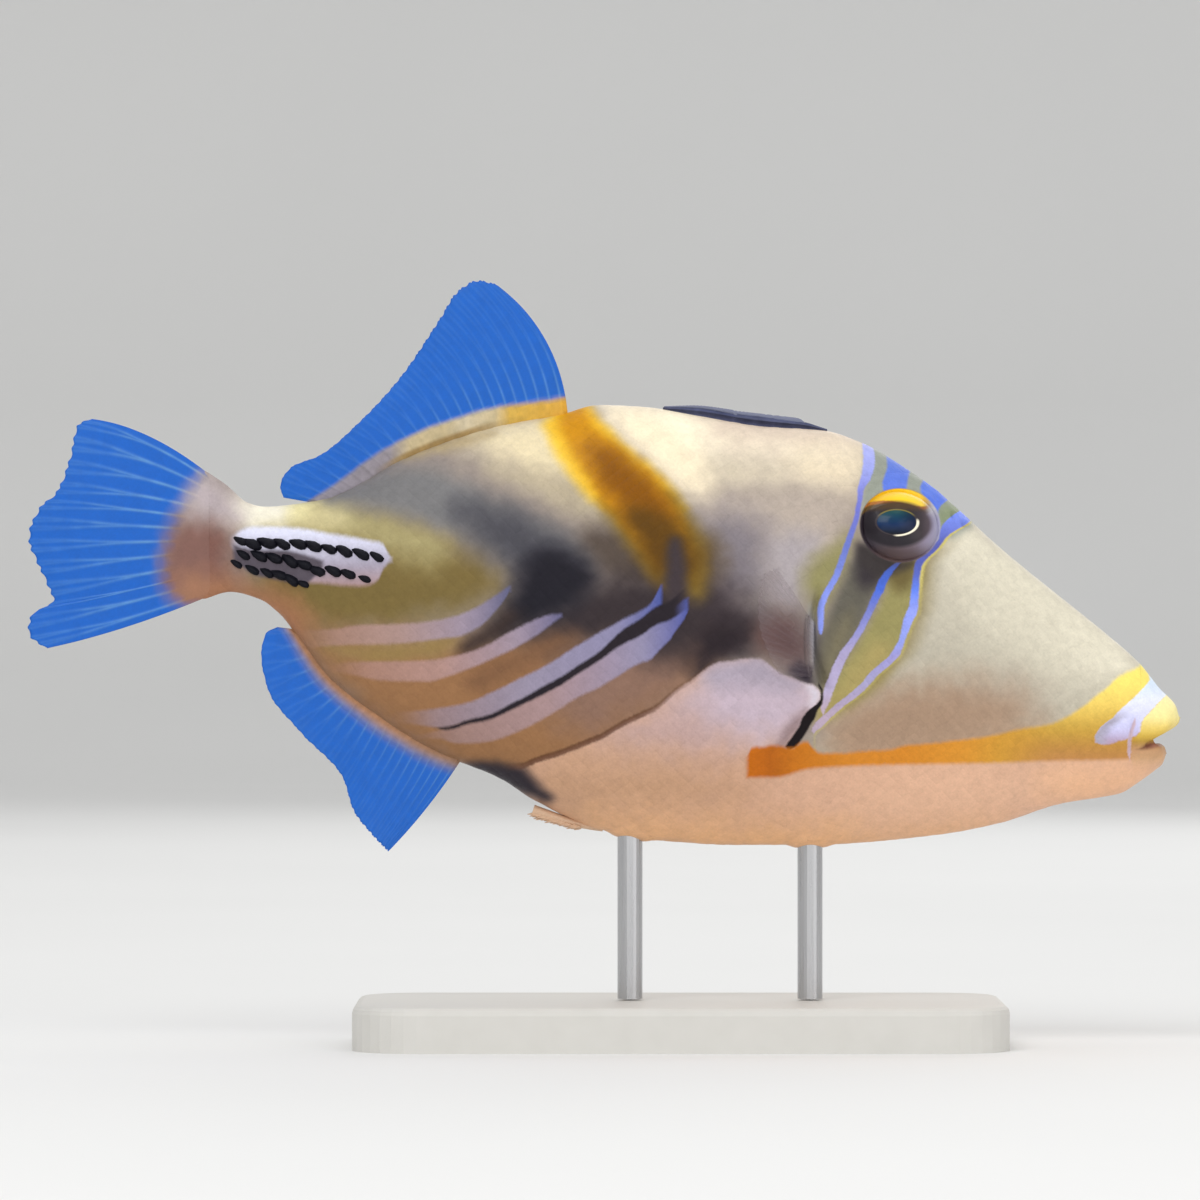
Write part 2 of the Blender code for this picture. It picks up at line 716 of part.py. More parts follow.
def pectoral_fin(side, look, rows=7):
    """A small fan that stands out from the flank just behind the gill opening."""
    length = curve_through(PECTORAL_LENGTHS)
    ridge = ray_ridge(PECTORAL_RAYS)
    out = Vector((-math.cos(PECTORAL_FLARE), math.sin(PECTORAL_FLARE), 0))
    normal = Vector((math.sin(PECTORAL_FLARE), math.cos(PECTORAL_FLARE), 0))

    def centre(u, v):
        x = PECTORAL_BASE[0][0] + (PECTORAL_BASE[1][0] - PECTORAL_BASE[0][0]) * u
        z = PECTORAL_BASE[0][1] + (PECTORAL_BASE[1][1] - PECTORAL_BASE[0][1]) * u
        root = Vector((x, side_y(x, z) + GAP, z))
        rise = PECTORAL_RISE[0] + (PECTORAL_RISE[1] - PECTORAL_RISE[0]) * u
        reach = float(length(u)) * v
        bend = normal * (-1.4 * v * v)
        return root + out * (reach * math.cos(rise)) + Vector((0, 0, reach * math.sin(rise))) + bend

    def half(u, v):
        flesh = 0.6 * max(0.0, 1 - v / 0.25)
        return (0.26 + flesh + 0.14 * ridge(u) * (1 - 0.4 * v)) * (1 - 0.4 * v**3)

    def root_point(point):
        return Vector((point.x, side_y(point.x, point.z) + GAP, point.z))

    name = "fin_pectoral_left" if side > 0 else "fin_pectoral_right"
    fin = sheet(
        name, centre, lambda u, v: normal, half, ridge_columns(PECTORAL_RAYS), fin_rows(rows),
        root_point, look,
    )
    if side < 0:
        mirrored = bmesh.new()
        mirrored.from_mesh(fin.data)
        bmesh.ops.scale(mirrored, vec=(1, -1, 1), verts=mirrored.verts)
        bmesh.ops.reverse_faces(mirrored, faces=mirrored.faces)
        mirrored.to_mesh(fin.data)
        mirrored.free()
    return fin


def strip_on_skin(name, xs, half_across, free_z, belly, look):
    """A low solid laid along the back or belly: one face follows the skin, the other free_z(x)."""
    sign = -1 if belly else 1
    shares = (-1.0, -0.55, 0.0, 0.55, 1.0)
    points = []
    for x in xs:
        for share in shares:
            y = share * half_across(x)
            points.append((x, y, skin_z(x, y, belly) + sign * GAP))
        for share in shares[1:-1]:
            y = share * half_across(x)
            floor = skin_z(x, y, belly) + sign * GAP
            height = max(0.15, sign * (free_z(x) - skin_z(x, 0, belly)) - GAP)
            points.append((x, y * 0.9, floor + sign * height * math.sqrt(1 - (share * 0.8) ** 2)))
    loop = (0, 1, 2, 3, 4, 7, 6, 5)
    faces = [loop, tuple(8 * (len(xs) - 1) + k for k in reversed(loop))]
    for i in range(len(xs) - 1):
        for k in range(8):
            a = 8 * i + loop[k]
            b = 8 * i + loop[(k + 1) % 8]
            faces.append((a, b, b + 8, a + 8))
    return add_object(name, mesh_from(name, points, faces), look)


def build_folded_dorsal(look):
    """The first dorsal fin, folded down: three spines laid back in a low strip of membrane."""
    top = curve_through(FOLDED_TOP)
    start, end = FOLDED_TOP[0][0], FOLDED_TOP[-1][0]

    def half_across(x):
        t = (x - start) / (end - start)
        return FOLDED_HALF_WIDTH * (0.35 + 0.65 * math.sin(math.pi * min(1.0, 0.08 + t * 0.86)) ** 0.6)

    fin = strip_on_skin(
        "fin_dorsal_first", np.linspace(start, end, 14), half_across,
        lambda x: float(top(x)) - 0.45, False, look,
    )
    spines = []
    for i, (root_x, tip_x, y, radius) in enumerate(
        ((26.4, 2.0, 0.0, 0.75), (19.0, -1.0, 0.75, 0.6), (12.0, -2.4, -0.75, 0.5))
    ):
        floor = skin_z(root_x, 0) + GAP + radius
        root = (root_x, y, max(floor + 0.05, float(top(root_x)) - radius * 0.8))
        tip = (tip_x, y * 0.4, float(top(tip_x)) - 0.35)
        profile = ((0, radius * 0.35), (0.07, radius * 0.85), (0.2, radius), (1, 0.22))
        spines.append(cone(f"folded_spine_{i}", root, tip, profile, 8))
    combine(fin, spines, "UNION")
    return fin


def build_scute(look):
    """The small pelvic scute under the belly, with a few blunt spinules at its rear end."""
    drop = curve_through(SCUTE_DROP)
    xs = np.linspace(SCUTE_X[1], SCUTE_X[0], 9)
    scute = strip_on_skin(
        "fin_pelvic", xs, lambda x: 0.8 + 0.5 * (SCUTE_X[0] - x) / (SCUTE_X[0] - SCUTE_X[1]),
        lambda x: float(belly_z(x)) - float(drop(x)) - GAP, True, look,
    )
    spinules = []
    for i in range(4):
        x = SCUTE_X[1] + 0.9 + 1.7 * i
        z = float(belly_z(x)) - float(drop(x)) + 0.2
        for y in (-0.55, 0.55):
            tip = (x - 1.7, y * 1.5, z - 0.75)
            spinules.append(cone(f"spinule_{i}_{y}", (x, y, z + 0.2), tip, ((0, 0.5), (1, 0.1)), 5))
    combine(scute, spinules, "UNION")
    return scute


def rounded_plate(name, size, corner, edge, look):
    """A flat plate with round corners and a soft upper edge, standing on z = 0."""
    work = bmesh.new()
    bmesh.ops.create_cube(work, size=1.0)
    bmesh.ops.scale(work, vec=[side * MM for side in size], verts=work.verts)
    bmesh.ops.translate(work, vec=(0, 0, size[2] * MM / 2), verts=work.verts)
    upright = [e for e in work.edges if abs(e.verts[0].co.z - e.verts[1].co.z) > size[2] * MM / 2]
    bmesh.ops.bevel(work, geom=upright, offset=corner * MM, segments=8, profile=0.5, affect="EDGES")
    top = [e for e in work.edges if min(v.co.z for v in e.verts) > size[2] * MM * 0.99]
    bmesh.ops.bevel(work, geom=top, offset=edge * MM, segments=3, profile=0.5, affect="EDGES")
    mesh = bpy.data.meshes.new(name)
    work.to_mesh(mesh)
    work.free()
    return add_object(name, mesh, look)


def rod(name, x, look, around=24):
    """A round rod from the base up to the belly, whose top follows the skin."""
    points = []
    for k in range(around):
        turn = 2 * math.pi * k / around
        points.append((x + ROD_RADIUS * math.cos(turn), ROD_RADIUS * math.sin(turn), BASE_SIZE[2] + GAP))
    for share in (1.0, 0.5):
        for k in range(around):
            turn = 2 * math.pi * k / around
            at_x = x + ROD_RADIUS * share * math.cos(turn)
            at_y = ROD_RADIUS * share * math.sin(turn)
            points.append((at_x, at_y, skin_z(at_x, at_y, belly=True) - GAP))
    points.append((x, 0, skin_z(x, 0, belly=True) - GAP))
    faces = [tuple(range(around))[::-1]]
    for k in range(around):
        n = (k + 1) % around
        faces.append((k, n, around + n, around + k))
        faces.append((around + k, around + n, 2 * around + n, 2 * around + k))
        faces.append((2 * around + k, 2 * around + n, 3 * around))
    return add_object(name, mesh_from(name, points, faces), look)


def main():
    for item in list(bpy.data.objects):
        bpy.data.objects.remove(item)
    cream = material("skin_cream", SKIN_CREAM, 0.45)
    grey = material("skin_grey", SKIN_GREY, 0.45)
    yellow = material("lip_yellow", SKIN_YELLOW, 0.4)
    fin = material("fin_membrane", FIN_BLUE, 0.35)
    eye = material("eye", EYE_DARK, 0.08)
    dark = material("spine_dark", SPINE_DARK, 0.5)
    white = material("stand_plate", STAND_WHITE, 0.45)
    metal = material("stand_rod", ROD_METAL, 0.3, 1.0)

    body = add_object("body", body_mesh())
    combine(body, [gill_cutter(1), gill_cutter(-1)], "DIFFERENCE")
    build_head(body.data, cream)
    build_jaws(body.data, yellow)
    build_torso(body.data, cream)
    build_tail_stalk(body.data, grey)
    bpy.data.objects.remove(body)

    ellipsoid("eye_left", 1, 0.0, look=eye)
    ellipsoid("eye_right", -1, 0.0, look=eye)
    build_folded_dorsal(dark)
    median_fin("fin_dorsal_second", DORSAL_ROOT, DORSAL_MARGIN, DORSAL_BOW, DORSAL_RAYS, False, 8, fin)
    median_fin("fin_anal", ANAL_ROOT, ANAL_MARGIN, ANAL_BOW, ANAL_RAYS, True, 8, fin)
    caudal_fin(fin)
    pectoral_fin(1, fin)
    pectoral_fin(-1, fin)
    build_scute(grey)

    rounded_plate("stand_base", BASE_SIZE, BASE_CORNER, BASE_EDGE, white)
    for name, x in ROD_X.items():
        rod(name, x, metal)


main()
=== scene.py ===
"""The visual of a picasso triggerfish as a life-size display model on a plain stand.

Lengths are in millimetres and become metres where a mesh is made. The nose points along +X and
the back along +Z. Places on the side of the fish are also given as (px, py), points of the
photograph's 1200 x 1200 frame, in which one point is 0.2 mm.
"""

import json
import math

import bpy
import numpy as np
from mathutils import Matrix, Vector

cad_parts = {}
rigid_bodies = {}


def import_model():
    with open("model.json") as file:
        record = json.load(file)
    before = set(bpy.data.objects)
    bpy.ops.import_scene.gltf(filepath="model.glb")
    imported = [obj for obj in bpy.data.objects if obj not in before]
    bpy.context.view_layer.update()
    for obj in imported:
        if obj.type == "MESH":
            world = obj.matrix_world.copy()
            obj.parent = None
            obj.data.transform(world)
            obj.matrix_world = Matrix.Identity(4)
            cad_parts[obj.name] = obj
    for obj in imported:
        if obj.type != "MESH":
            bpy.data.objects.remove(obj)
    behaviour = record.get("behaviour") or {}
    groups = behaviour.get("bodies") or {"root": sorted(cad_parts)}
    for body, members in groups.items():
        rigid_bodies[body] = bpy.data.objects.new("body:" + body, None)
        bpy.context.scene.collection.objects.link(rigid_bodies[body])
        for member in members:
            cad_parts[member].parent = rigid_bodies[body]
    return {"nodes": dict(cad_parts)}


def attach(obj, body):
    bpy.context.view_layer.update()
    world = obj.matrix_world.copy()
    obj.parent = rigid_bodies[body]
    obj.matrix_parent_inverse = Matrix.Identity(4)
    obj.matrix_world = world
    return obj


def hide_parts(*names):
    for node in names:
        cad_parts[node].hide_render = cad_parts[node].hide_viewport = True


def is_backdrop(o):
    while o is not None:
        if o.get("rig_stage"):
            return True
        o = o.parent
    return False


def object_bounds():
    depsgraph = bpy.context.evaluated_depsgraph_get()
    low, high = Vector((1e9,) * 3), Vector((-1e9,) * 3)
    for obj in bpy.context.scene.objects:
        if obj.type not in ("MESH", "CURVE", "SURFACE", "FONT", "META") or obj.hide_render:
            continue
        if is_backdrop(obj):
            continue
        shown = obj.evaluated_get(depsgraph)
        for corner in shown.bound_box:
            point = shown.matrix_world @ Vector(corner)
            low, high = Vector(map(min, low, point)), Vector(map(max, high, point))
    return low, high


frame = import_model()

MM = 0.001
cad_low, cad_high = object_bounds()

# The photograph's frame: where the origin lies in it, and how large one point is
ORIGIN_PX = (680.0, 1045.0)
POINT_MM = 0.2
FRAME_POINTS = 1200.0

# Body outline, seen from the side: (x, z)
BACK_LINE = (
    (-95, 115.0), (-91, 112.4), (-86, 108.4), (-83, 107.8), (-71, 109.4), (-66, 111.4),
    (-56, 117.0), (-46, 121.0), (-36, 124.0), (-24, 126.2), (-16, 128.1), (-8, 127.8),
    (4, 126.0), (16, 124.0), (29, 123.0), (36, 120.7), (44, 116.2), (52, 110.4),
    (64, 99.6), (84, 83.4),
)
BELLY_LINE = (
    (-95, 89.1), (-90, 90.5), (-84, 89.0), (-80, 86.0), (-76, 80.8), (-70, 73.0),
    (-62.8, 67.2), (-49.6, 58.8), (-36, 53.2), (-29.4, 49.0), (-16, 43.0), (-4, 40.8),
    (12, 39.9), (28, 40.0), (52, 42.0), (64, 44.3), (76.4, 48.2), (84, 49.4),
)
# Half of the body's width, seen from above: (x, half width)
HALF_WIDTH = (
    (-95, 1.3), (-90, 2.8), (-86, 3.8), (-76, 5.4), (-66, 7.6), (-56, 9.8), (-36, 13.2),
    (-16, 15.4), (4, 16.4), (20, 16.6), (34, 15.8), (44, 14.8), (64, 11.6), (76, 9.5), (84, 8.2),
)
WIDEST = 0.52
UPPER_ROUNDNESS = 2.15
LOWER_ROUNDNESS = 1.85

# Snout, from the last upright section to the lips
SNOUT_START = 84.0
SNOUT_LENGTH = 16.0
SNOUT_TOP = ((84, 83.4), (92, 76.4), (96, 71.4), (99.2, 68.0), (100.2, 65.4))
SNOUT_BOTTOM = ((84, 49.4), (88, 50.2), (92, 52.6), (95, 54.8), (96.6, 56.2), (97.4, 58.4))
SNOUT_BLUNTNESS = 2.4
LIP_REACH = 3.0
LIP_CREASE = (0.385, 0.05, -0.05)
LIP_SWELL = (0.84, 0.12, 0.11)
LIP_PROFILE = (
    (0, 0), (0.12, 0.12), (0.3, -0.56), (0.49, -1.84), (0.64, -3.6), (0.72, -2.4), (0.85, -0.84),
    (1, 0),
)
MOUTH_CORNER = (92.6, 59.8)
MOUTH_RISE = math.radians(24.4)
LABIAL_CREASE = ((90.4, 65.4), (89.6, 57.0))
GILL_LINE = ((27.2, 90.6), (26.2, 85.0), (26.6, 78.0), (28.8, 71.2))
NOSTRILS = ((54.4, 105.8), (56.8, 104.0))
NOSTRIL_RADIUS = 0.55

EYE_AT = (43.6, 103.8)
EYE_RADII = (8.1, 7.4, 5.0)
EYE_SUNK = 1.5
ORBIT_RADII = (8.2, 7.4)

# Median fins: the front ray, then the free margin back to the last ray
DORSAL_ROOT = (-22.4, -72.0)
DORSAL_MARGIN = (
    (-36.6, 152.2), (-40.4, 153.0), (-44.5, 150.8), (-48, 145.4), (-56, 133.6), (-64, 124.8),
    (-72, 118.0), (-78, 115.4), (-80, 111.8), (-79.4, 109.5),
)
DORSAL_BOW = 3.3
ANAL_ROOT = (-43.6, -77.0)
ANAL_MARGIN = (
    (-58.4, 38.6), (-61.6, 42.0), (-65.4, 47.0), (-67.4, 53.2), (-76, 62.6), (-82.4, 71.0),
    (-83.8, 78.0), (-82.8, 82.4), (-80.6, 83.6),
)
ANAL_BOW = 0.6
CAUDAL_MARGIN = (
    (-118, 125.4), (-120.6, 124.0), (-122, 118.0), (-124.8, 110.6), (-128.2, 107.4),
    (-130.4, 101.6), (-127.6, 94.0), (-125.6, 89.0), (-130, 85.8), (-130.6, 82.6), (-127, 79.2),
)
CAUDAL_BOW = (2.1, -0.9)
DORSAL_RAYS = 24
ANAL_RAYS = 22
CAUDAL_RAYS = 12
PECTORAL_RAYS = 14
PECTORAL_BASE = ((25.9, 84.6), (25.9, 73.6))
PECTORAL_LENGTHS = ((0, 14.5), (0.25, 18.5), (0.6, 16.0), (1, 9.0))
PECTORAL_RISE = (math.radians(48), math.radians(4))
PECTORAL_FLARE = math.radians(51)

FOLDED_TOP = (
    (-3.4, 127.9), (2, 127.9), (12, 126.6), (20, 125.6), (25, 124.9), (29.4, 123.5),
)
FOLDED_HALF_WIDTH = 1.7
SCUTE_X = (-16.0, -29.4)
SCUTE_DROP = ((-29.4, 2.9), (-26, 2.2), (-19, 0.9), (-16, 0.5))
ROD_X = (26.0, -10.0)

# Relief of the skin: how far it lies below the plates, and what rises from it or sinks into it
SKIN_DEPTH = 0.12
LID_HEIGHT = 0.55
SOCKET_DEPTH = 3.4
GILL_DEPTH = 1.5
GILL_LIP_HEIGHT = 0.5
MOUTH_DEPTH = 0.95
CREASE_DEPTH = 0.4
NOSTRIL_DEPTH = 1.3
LIP_GAP_AT = (100.2, 65.2)
LIP_GAP_DEPTH = 0.35
COLLAR_HEIGHT = 0.62
COLLAR_RADII = (5.2, 2.6)
COLLAR_TOP = 60


def curve_through(knots):
    """A smooth function through the knots, which rises and falls only where they do."""
    at = np.array([k[0] for k in knots], float)
    value = np.array([k[1] for k in knots], float)
    step = np.diff(at)
    slope = np.diff(value) / step
    tangent = np.zeros(len(at))
    for i in range(1, len(at) - 1):
        if slope[i - 1] * slope[i] > 0:
            before = 2 * step[i] + step[i - 1]
            after = step[i] + 2 * step[i - 1]
            tangent[i] = (before + after) / (before / slope[i - 1] + after / slope[i])
    tangent[0] = slope[0]
    tangent[-1] = slope[-1]

    def evaluate(x):
        x = np.clip(np.asarray(x, float), at[0], at[-1])
        i = np.clip(np.searchsorted(at, x, side="right") - 1, 0, len(step) - 1)
        t = (x - at[i]) / step[i]
        rise = value[i] * (1 + 2 * t) * (1 - t) ** 2 + value[i + 1] * t * t * (3 - 2 * t)
        bend = tangent[i] * t * (1 - t) ** 2 - tangent[i + 1] * t * t * (1 - t)
        return rise + bend * step[i]

    return evaluate


def path_through(points):
    """A smooth path through (x, z) points, as a function of the share of its length from 0 to 1."""
    points = np.array(points, float)
    run = np.concatenate([[0], np.cumsum(np.hypot(*np.diff(points, axis=0).T))])
    run = run / run[-1]
    x = curve_through(list(zip(run, points[:, 0])))
    z = curve_through(list(zip(run, points[:, 1])))
    return lambda t: (x(t), z(t))


def smooth(low, high, value):
    """0 below low, 1 above high, and a smooth rise between."""
    t = np.clip((value - low) / (high - low), 0, 1)
    return t * t * (3 - 2 * t)


def bell(value, spread):
    return np.exp(-((value / spread) ** 2))


back_z = curve_through(BACK_LINE)
belly_z = curve_through(BELLY_LINE)
half_width = curve_through(HALF_WIDTH)
snout_top = path_through(SNOUT_TOP)
snout_bottom = path_through(SNOUT_BOTTOM)
lip_depth = curve_through(LIP_PROFILE)
TAIL_END = -97.6
NOSE_END = SNOUT_START + SNOUT_LENGTH


def section_shares(angle):
    """For an angle from the back (0) to the belly (pi): the share of the depth and of the width."""
    power = np.where(angle < math.pi / 2, UPPER_ROUNDNESS, LOWER_ROUNDNESS)
    reach = np.abs(np.cos(angle)) ** (2 / power)
    down = np.where(angle < math.pi / 2, WIDEST * (1 - reach), WIDEST + (1 - WIDEST) * reach)
    out = np.clip(np.sin(angle), 0, 1) ** (2 / power)
    return down, out


def surface(station, angle):
    """The left half of the bare body, for a station from tail to lips and an angle from back to belly."""
    station, angle = np.broadcast_arrays(np.asarray(station, float), np.asarray(angle, float))
    station = np.clip(station, TAIL_END, NOSE_END)
    down, out = section_shares(np.clip(angle, 0, math.pi))
    top = back_z(station)
    bottom = belly_z(station)
    width = half_width(station)
    behind = np.clip((BACK_LINE[0][0] - station) / (BACK_LINE[0][0] - TAIL_END), 0, 1)
    width = width * np.sqrt(1 - behind**2)
    share = np.clip((station - SNOUT_START) / SNOUT_LENGTH, 0, 1)
    top_x, top_z = snout_top(share)
    bottom_x, bottom_z = snout_bottom(share)
    front_x = top_x + (bottom_x - top_x) * down + lip_depth(down) * share**LIP_REACH
    front_z = top_z + (bottom_z - top_z) * down
    front_width = HALF_WIDTH[-1][1] * np.sqrt(np.maximum(0, 1 - share**SNOUT_BLUNTNESS))
    for place, spread, swell in (LIP_CREASE, LIP_SWELL):
        front_width = front_width * (1 + swell * bell(share - place, spread))
    front = station > SNOUT_START
    x = np.where(front, front_x, station)
    y = out * np.where(front, front_width, width)
    z = np.where(front, front_z, top + (bottom - top) * down)
    return np.stack([x, y, z], axis=-1)


def outward(station, angle):
    """The direction away from the bare body, on its left half."""
    along = surface(station + 0.03, angle) - surface(station - 0.03, angle)
    around = surface(station, angle + 0.004) - surface(station, angle - 0.004)
    normal = np.cross(along, around)
    length = np.linalg.norm(normal, axis=-1, keepdims=True)
    return normal / np.maximum(length, 1e-12)


def side_y(x, z):
    """How far the skin lies from the middle plane at a point of the side view."""
    top = back_z(x)
    share = (top - z) / (top - belly_z(x))
    upper = share < WIDEST
    rest = np.where(upper, np.abs(WIDEST - share) / WIDEST, (share - WIDEST) / (1 - WIDEST))
    power = np.where(upper, UPPER_ROUNDNESS, LOWER_ROUNDNESS)
    return half_width(x) * np.maximum(0, 1 - np.abs(rest) ** power) ** (1 / power)


def side_normal(x, z):
    """The skin's outward direction on the fish's left side."""
    step = 0.2
    along_x = (side_y(x + step, z) - side_y(x - step, z)) / (2 * step)
    along_z = (side_y(x, z + step) - side_y(x, z - step)) / (2 * step)
    return Vector((-float(along_x), 1.0, -float(along_z))).normalized()


def line_distance(x, z, points):
    """The distance from a line through the points, and the share of its length at the nearest place."""
    points = np.array(points, float)
    run = np.concatenate([[0], np.cumsum(np.hypot(*np.diff(points, axis=0).T))])
    nearest = np.full(np.shape(x), 1e9)
    share = np.zeros(np.shape(x))
    for i in range(len(points) - 1):
        ax, az = points[i]
        dx, dz = points[i + 1] - points[i]
        t = np.clip(((x - ax) * dx + (z - az) * dz) / (dx * dx + dz * dz), 0, 1)
        found = np.hypot(x - ax - t * dx, z - az - t * dz)
        closer = found < nearest
        nearest = np.where(closer, found, nearest)
        share = np.where(closer, (run[i] + t * (run[i + 1] - run[i])) / run[-1], share)
    return nearest, share


def orbit_reach(x, z):
    """How far a point lies from the eye's middle, where 1 is the edge of the orbit."""
    return np.hypot((x - EYE_AT[0]) / ORBIT_RADII[0], (z - EYE_AT[1]) / ORBIT_RADII[1])


def relief(x, z, station):
    """How far the skin stands out from the bare body, before the plates."""
    rise = np.full(np.shape(x), -SKIN_DEPTH)

    # The lid with its fine folds, and the socket that the eyeball fills
    e = orbit_reach(x, z)
    turn = np.arctan2(z - EYE_AT[1], x - EYE_AT[0])
    rise += LID_HEIGHT * bell(e - 0.99, 0.13) + 0.12 * bell(e - 1.32, 0.1)
    rise += 0.05 * np.cos(14 * turn + 2 * e) * smooth(1.0, 1.08, e) * smooth(1.6, 1.2, e)
    rise -= SOCKET_DEPTH * smooth(0.93, 0.78, e)

    # The gill opening, with a lip that is higher in front of it
    gill, share = line_distance(x, z, GILL_LINE)
    body = station < SNOUT_START
    fade = smooth(0, 0.1, share) * smooth(1, 0.9, share)
    gill_x, gill_z = np.array(GILL_LINE[::-1]).T
    ahead = x - np.interp(z, gill_z, gill_x)
    rise += np.where(body, -GILL_DEPTH * bell(gill, 0.62) * (0.25 + 0.75 * fade), 0)
    lip = GILL_LIP_HEIGHT * bell(gill - 1.9, 1.1) * np.where(ahead > 0, 1.0, 0.35)
    rise += np.where(body, lip, 0)

    # The mouth between its two lips, and the crease behind them
    from_corner_x = x - MOUTH_CORNER[0]
    from_corner_z = z - MOUTH_CORNER[1]
    length = np.cos(MOUTH_RISE) * from_corner_x + np.sin(MOUTH_RISE) * from_corner_z
    across = np.cos(MOUTH_RISE) * from_corner_z - np.sin(MOUTH_RISE) * from_corner_x
    lips = smooth(-0.6, 1.2, length)
    rise -= MOUTH_DEPTH * bell(across, 0.42) * lips
    rise += 0.28 * bell(across - 1.7, 1.0) * lips + 0.24 * bell(across + 1.5, 0.8) * lips
    rise -= LIP_GAP_DEPTH * bell(np.hypot(x - LIP_GAP_AT[0], z - LIP_GAP_AT[1]), 1.6)
    crease, share = line_distance(x, z, LABIAL_CREASE)
    rise -= CREASE_DEPTH * bell(crease, 0.55) * smooth(0, 0.2, share) * smooth(1, 0.8, share)

    for nx, nz in NOSTRILS:
        reach = np.hypot(x - nx, z - nz) / NOSTRIL_RADIUS
        rise += 0.3 * bell(reach - 1.5, 0.55) - NOSTRIL_DEPTH * bell(reach, 0.8)
    return rise


def skin_points(station, angle, side):
    """Points of the finished skin, on the left (1) or right (-1) side."""
    bare = surface(station, angle)
    normal = outward(station, angle)
    rise = relief(bare[..., 0], bare[..., 2], np.broadcast_to(station, bare.shape[:-1]))
    for x in ROD_X:
        reach = np.hypot(bare[..., 0] - x, bare[..., 1])
        rise = rise + np.where(bare[..., 2] < COLLAR_TOP, COLLAR_HEIGHT * smooth(*COLLAR_RADII, reach), 0)
    mirror = np.array([1, side, 1])
    return (bare + normal * rise[..., None]) * mirror, normal * mirror


def to_mm(points):
    """Points of the photograph's frame as (x, z) in millimetres."""
    points = np.array(points, float)
    x = (points[:, 0] - ORIGIN_PX[0]) * POINT_MM
    z = (ORIGIN_PX[1] - points[:, 1]) * POINT_MM
    return np.stack([x, z], axis=1)


def rounded(outline, rounds=2):
    """A closed outline with its corners cut back, so that it bends smoothly."""
    for _ in range(rounds):
        after = np.roll(outline, -1, axis=0)
        outline = np.stack([0.75 * outline + 0.25 * after, 0.25 * outline + 0.75 * after], axis=1)
        outline = outline.reshape(-1, 2)
    return outline


def depth_inside(x, z, outline):
    """How far a point lies inside a closed outline, and less than 0 outside it."""
    nearest = np.full(x.shape, 1e9)
    crossings = np.zeros(x.shape, bool)
    for (ax, az), (bx, bz) in zip(outline, np.roll(outline, -1, axis=0)):
        dx = bx - ax
        dz = bz - az
        t = np.clip(((x - ax) * dx + (z - az) * dz) / (dx * dx + dz * dz + 1e-12), 0, 1)
        nearest = np.minimum(nearest, np.hypot(x - ax - t * dx, z - az - t * dz))
        if az != bz:
            spans = (az > z) != (bz > z)
            crossings ^= spans & (x < ax + (z - az) / (bz - az) * dx)
    return np.where(crossings, nearest, -nearest)


def wander(x, z, size, seed):
    """Smooth noise between about -1 and 1, whose patches are about this size."""
    period = 64
    table = np.random.default_rng(seed).uniform(-1, 1, (period, period))
    u = x / size + 1000.3
    v = z / size + 1000.7
    i = np.floor(u).astype(int)
    j = np.floor(v).astype(int)
    s = smooth(0, 1, u - i)
    t = smooth(0, 1, v - j)
    return between(table, i % period, j % period, (i + 1) % period, (j + 1) % period, s, t)


def between(table, i, j, next_i, next_j, s, t):
    """The table's values at two rows and two columns, mixed by the shares s and t."""
    low = table[i, j] * (1 - s) + table[next_i, j] * s
    high = table[i, next_j] * (1 - s) + table[next_i, next_j] * s
    return low * (1 - t) + high * t


def looked_up(table, u, v):
    """The table's values between its rows and columns, which u and v count from 0."""
    u = np.clip(u, 0, table.shape[0] - 1.001)
    v = np.clip(v, 0, table.shape[1] - 1.001)
    i = u.astype(int)
    j = v.astype(int)
    shape = u.shape + (1,) * (table.ndim - 2)
    return between(table, i, j, i + 1, j + 1, (u - i).reshape(shape), (v - j).reshape(shape))


def linear(colour):
    """A screen colour of 0 to 255 as linear light."""
    share = np.asarray(colour, float) / 255
    return np.where(share <= 0.04045, share / 12.92, ((share + 0.055) / 1.055) ** 2.4)


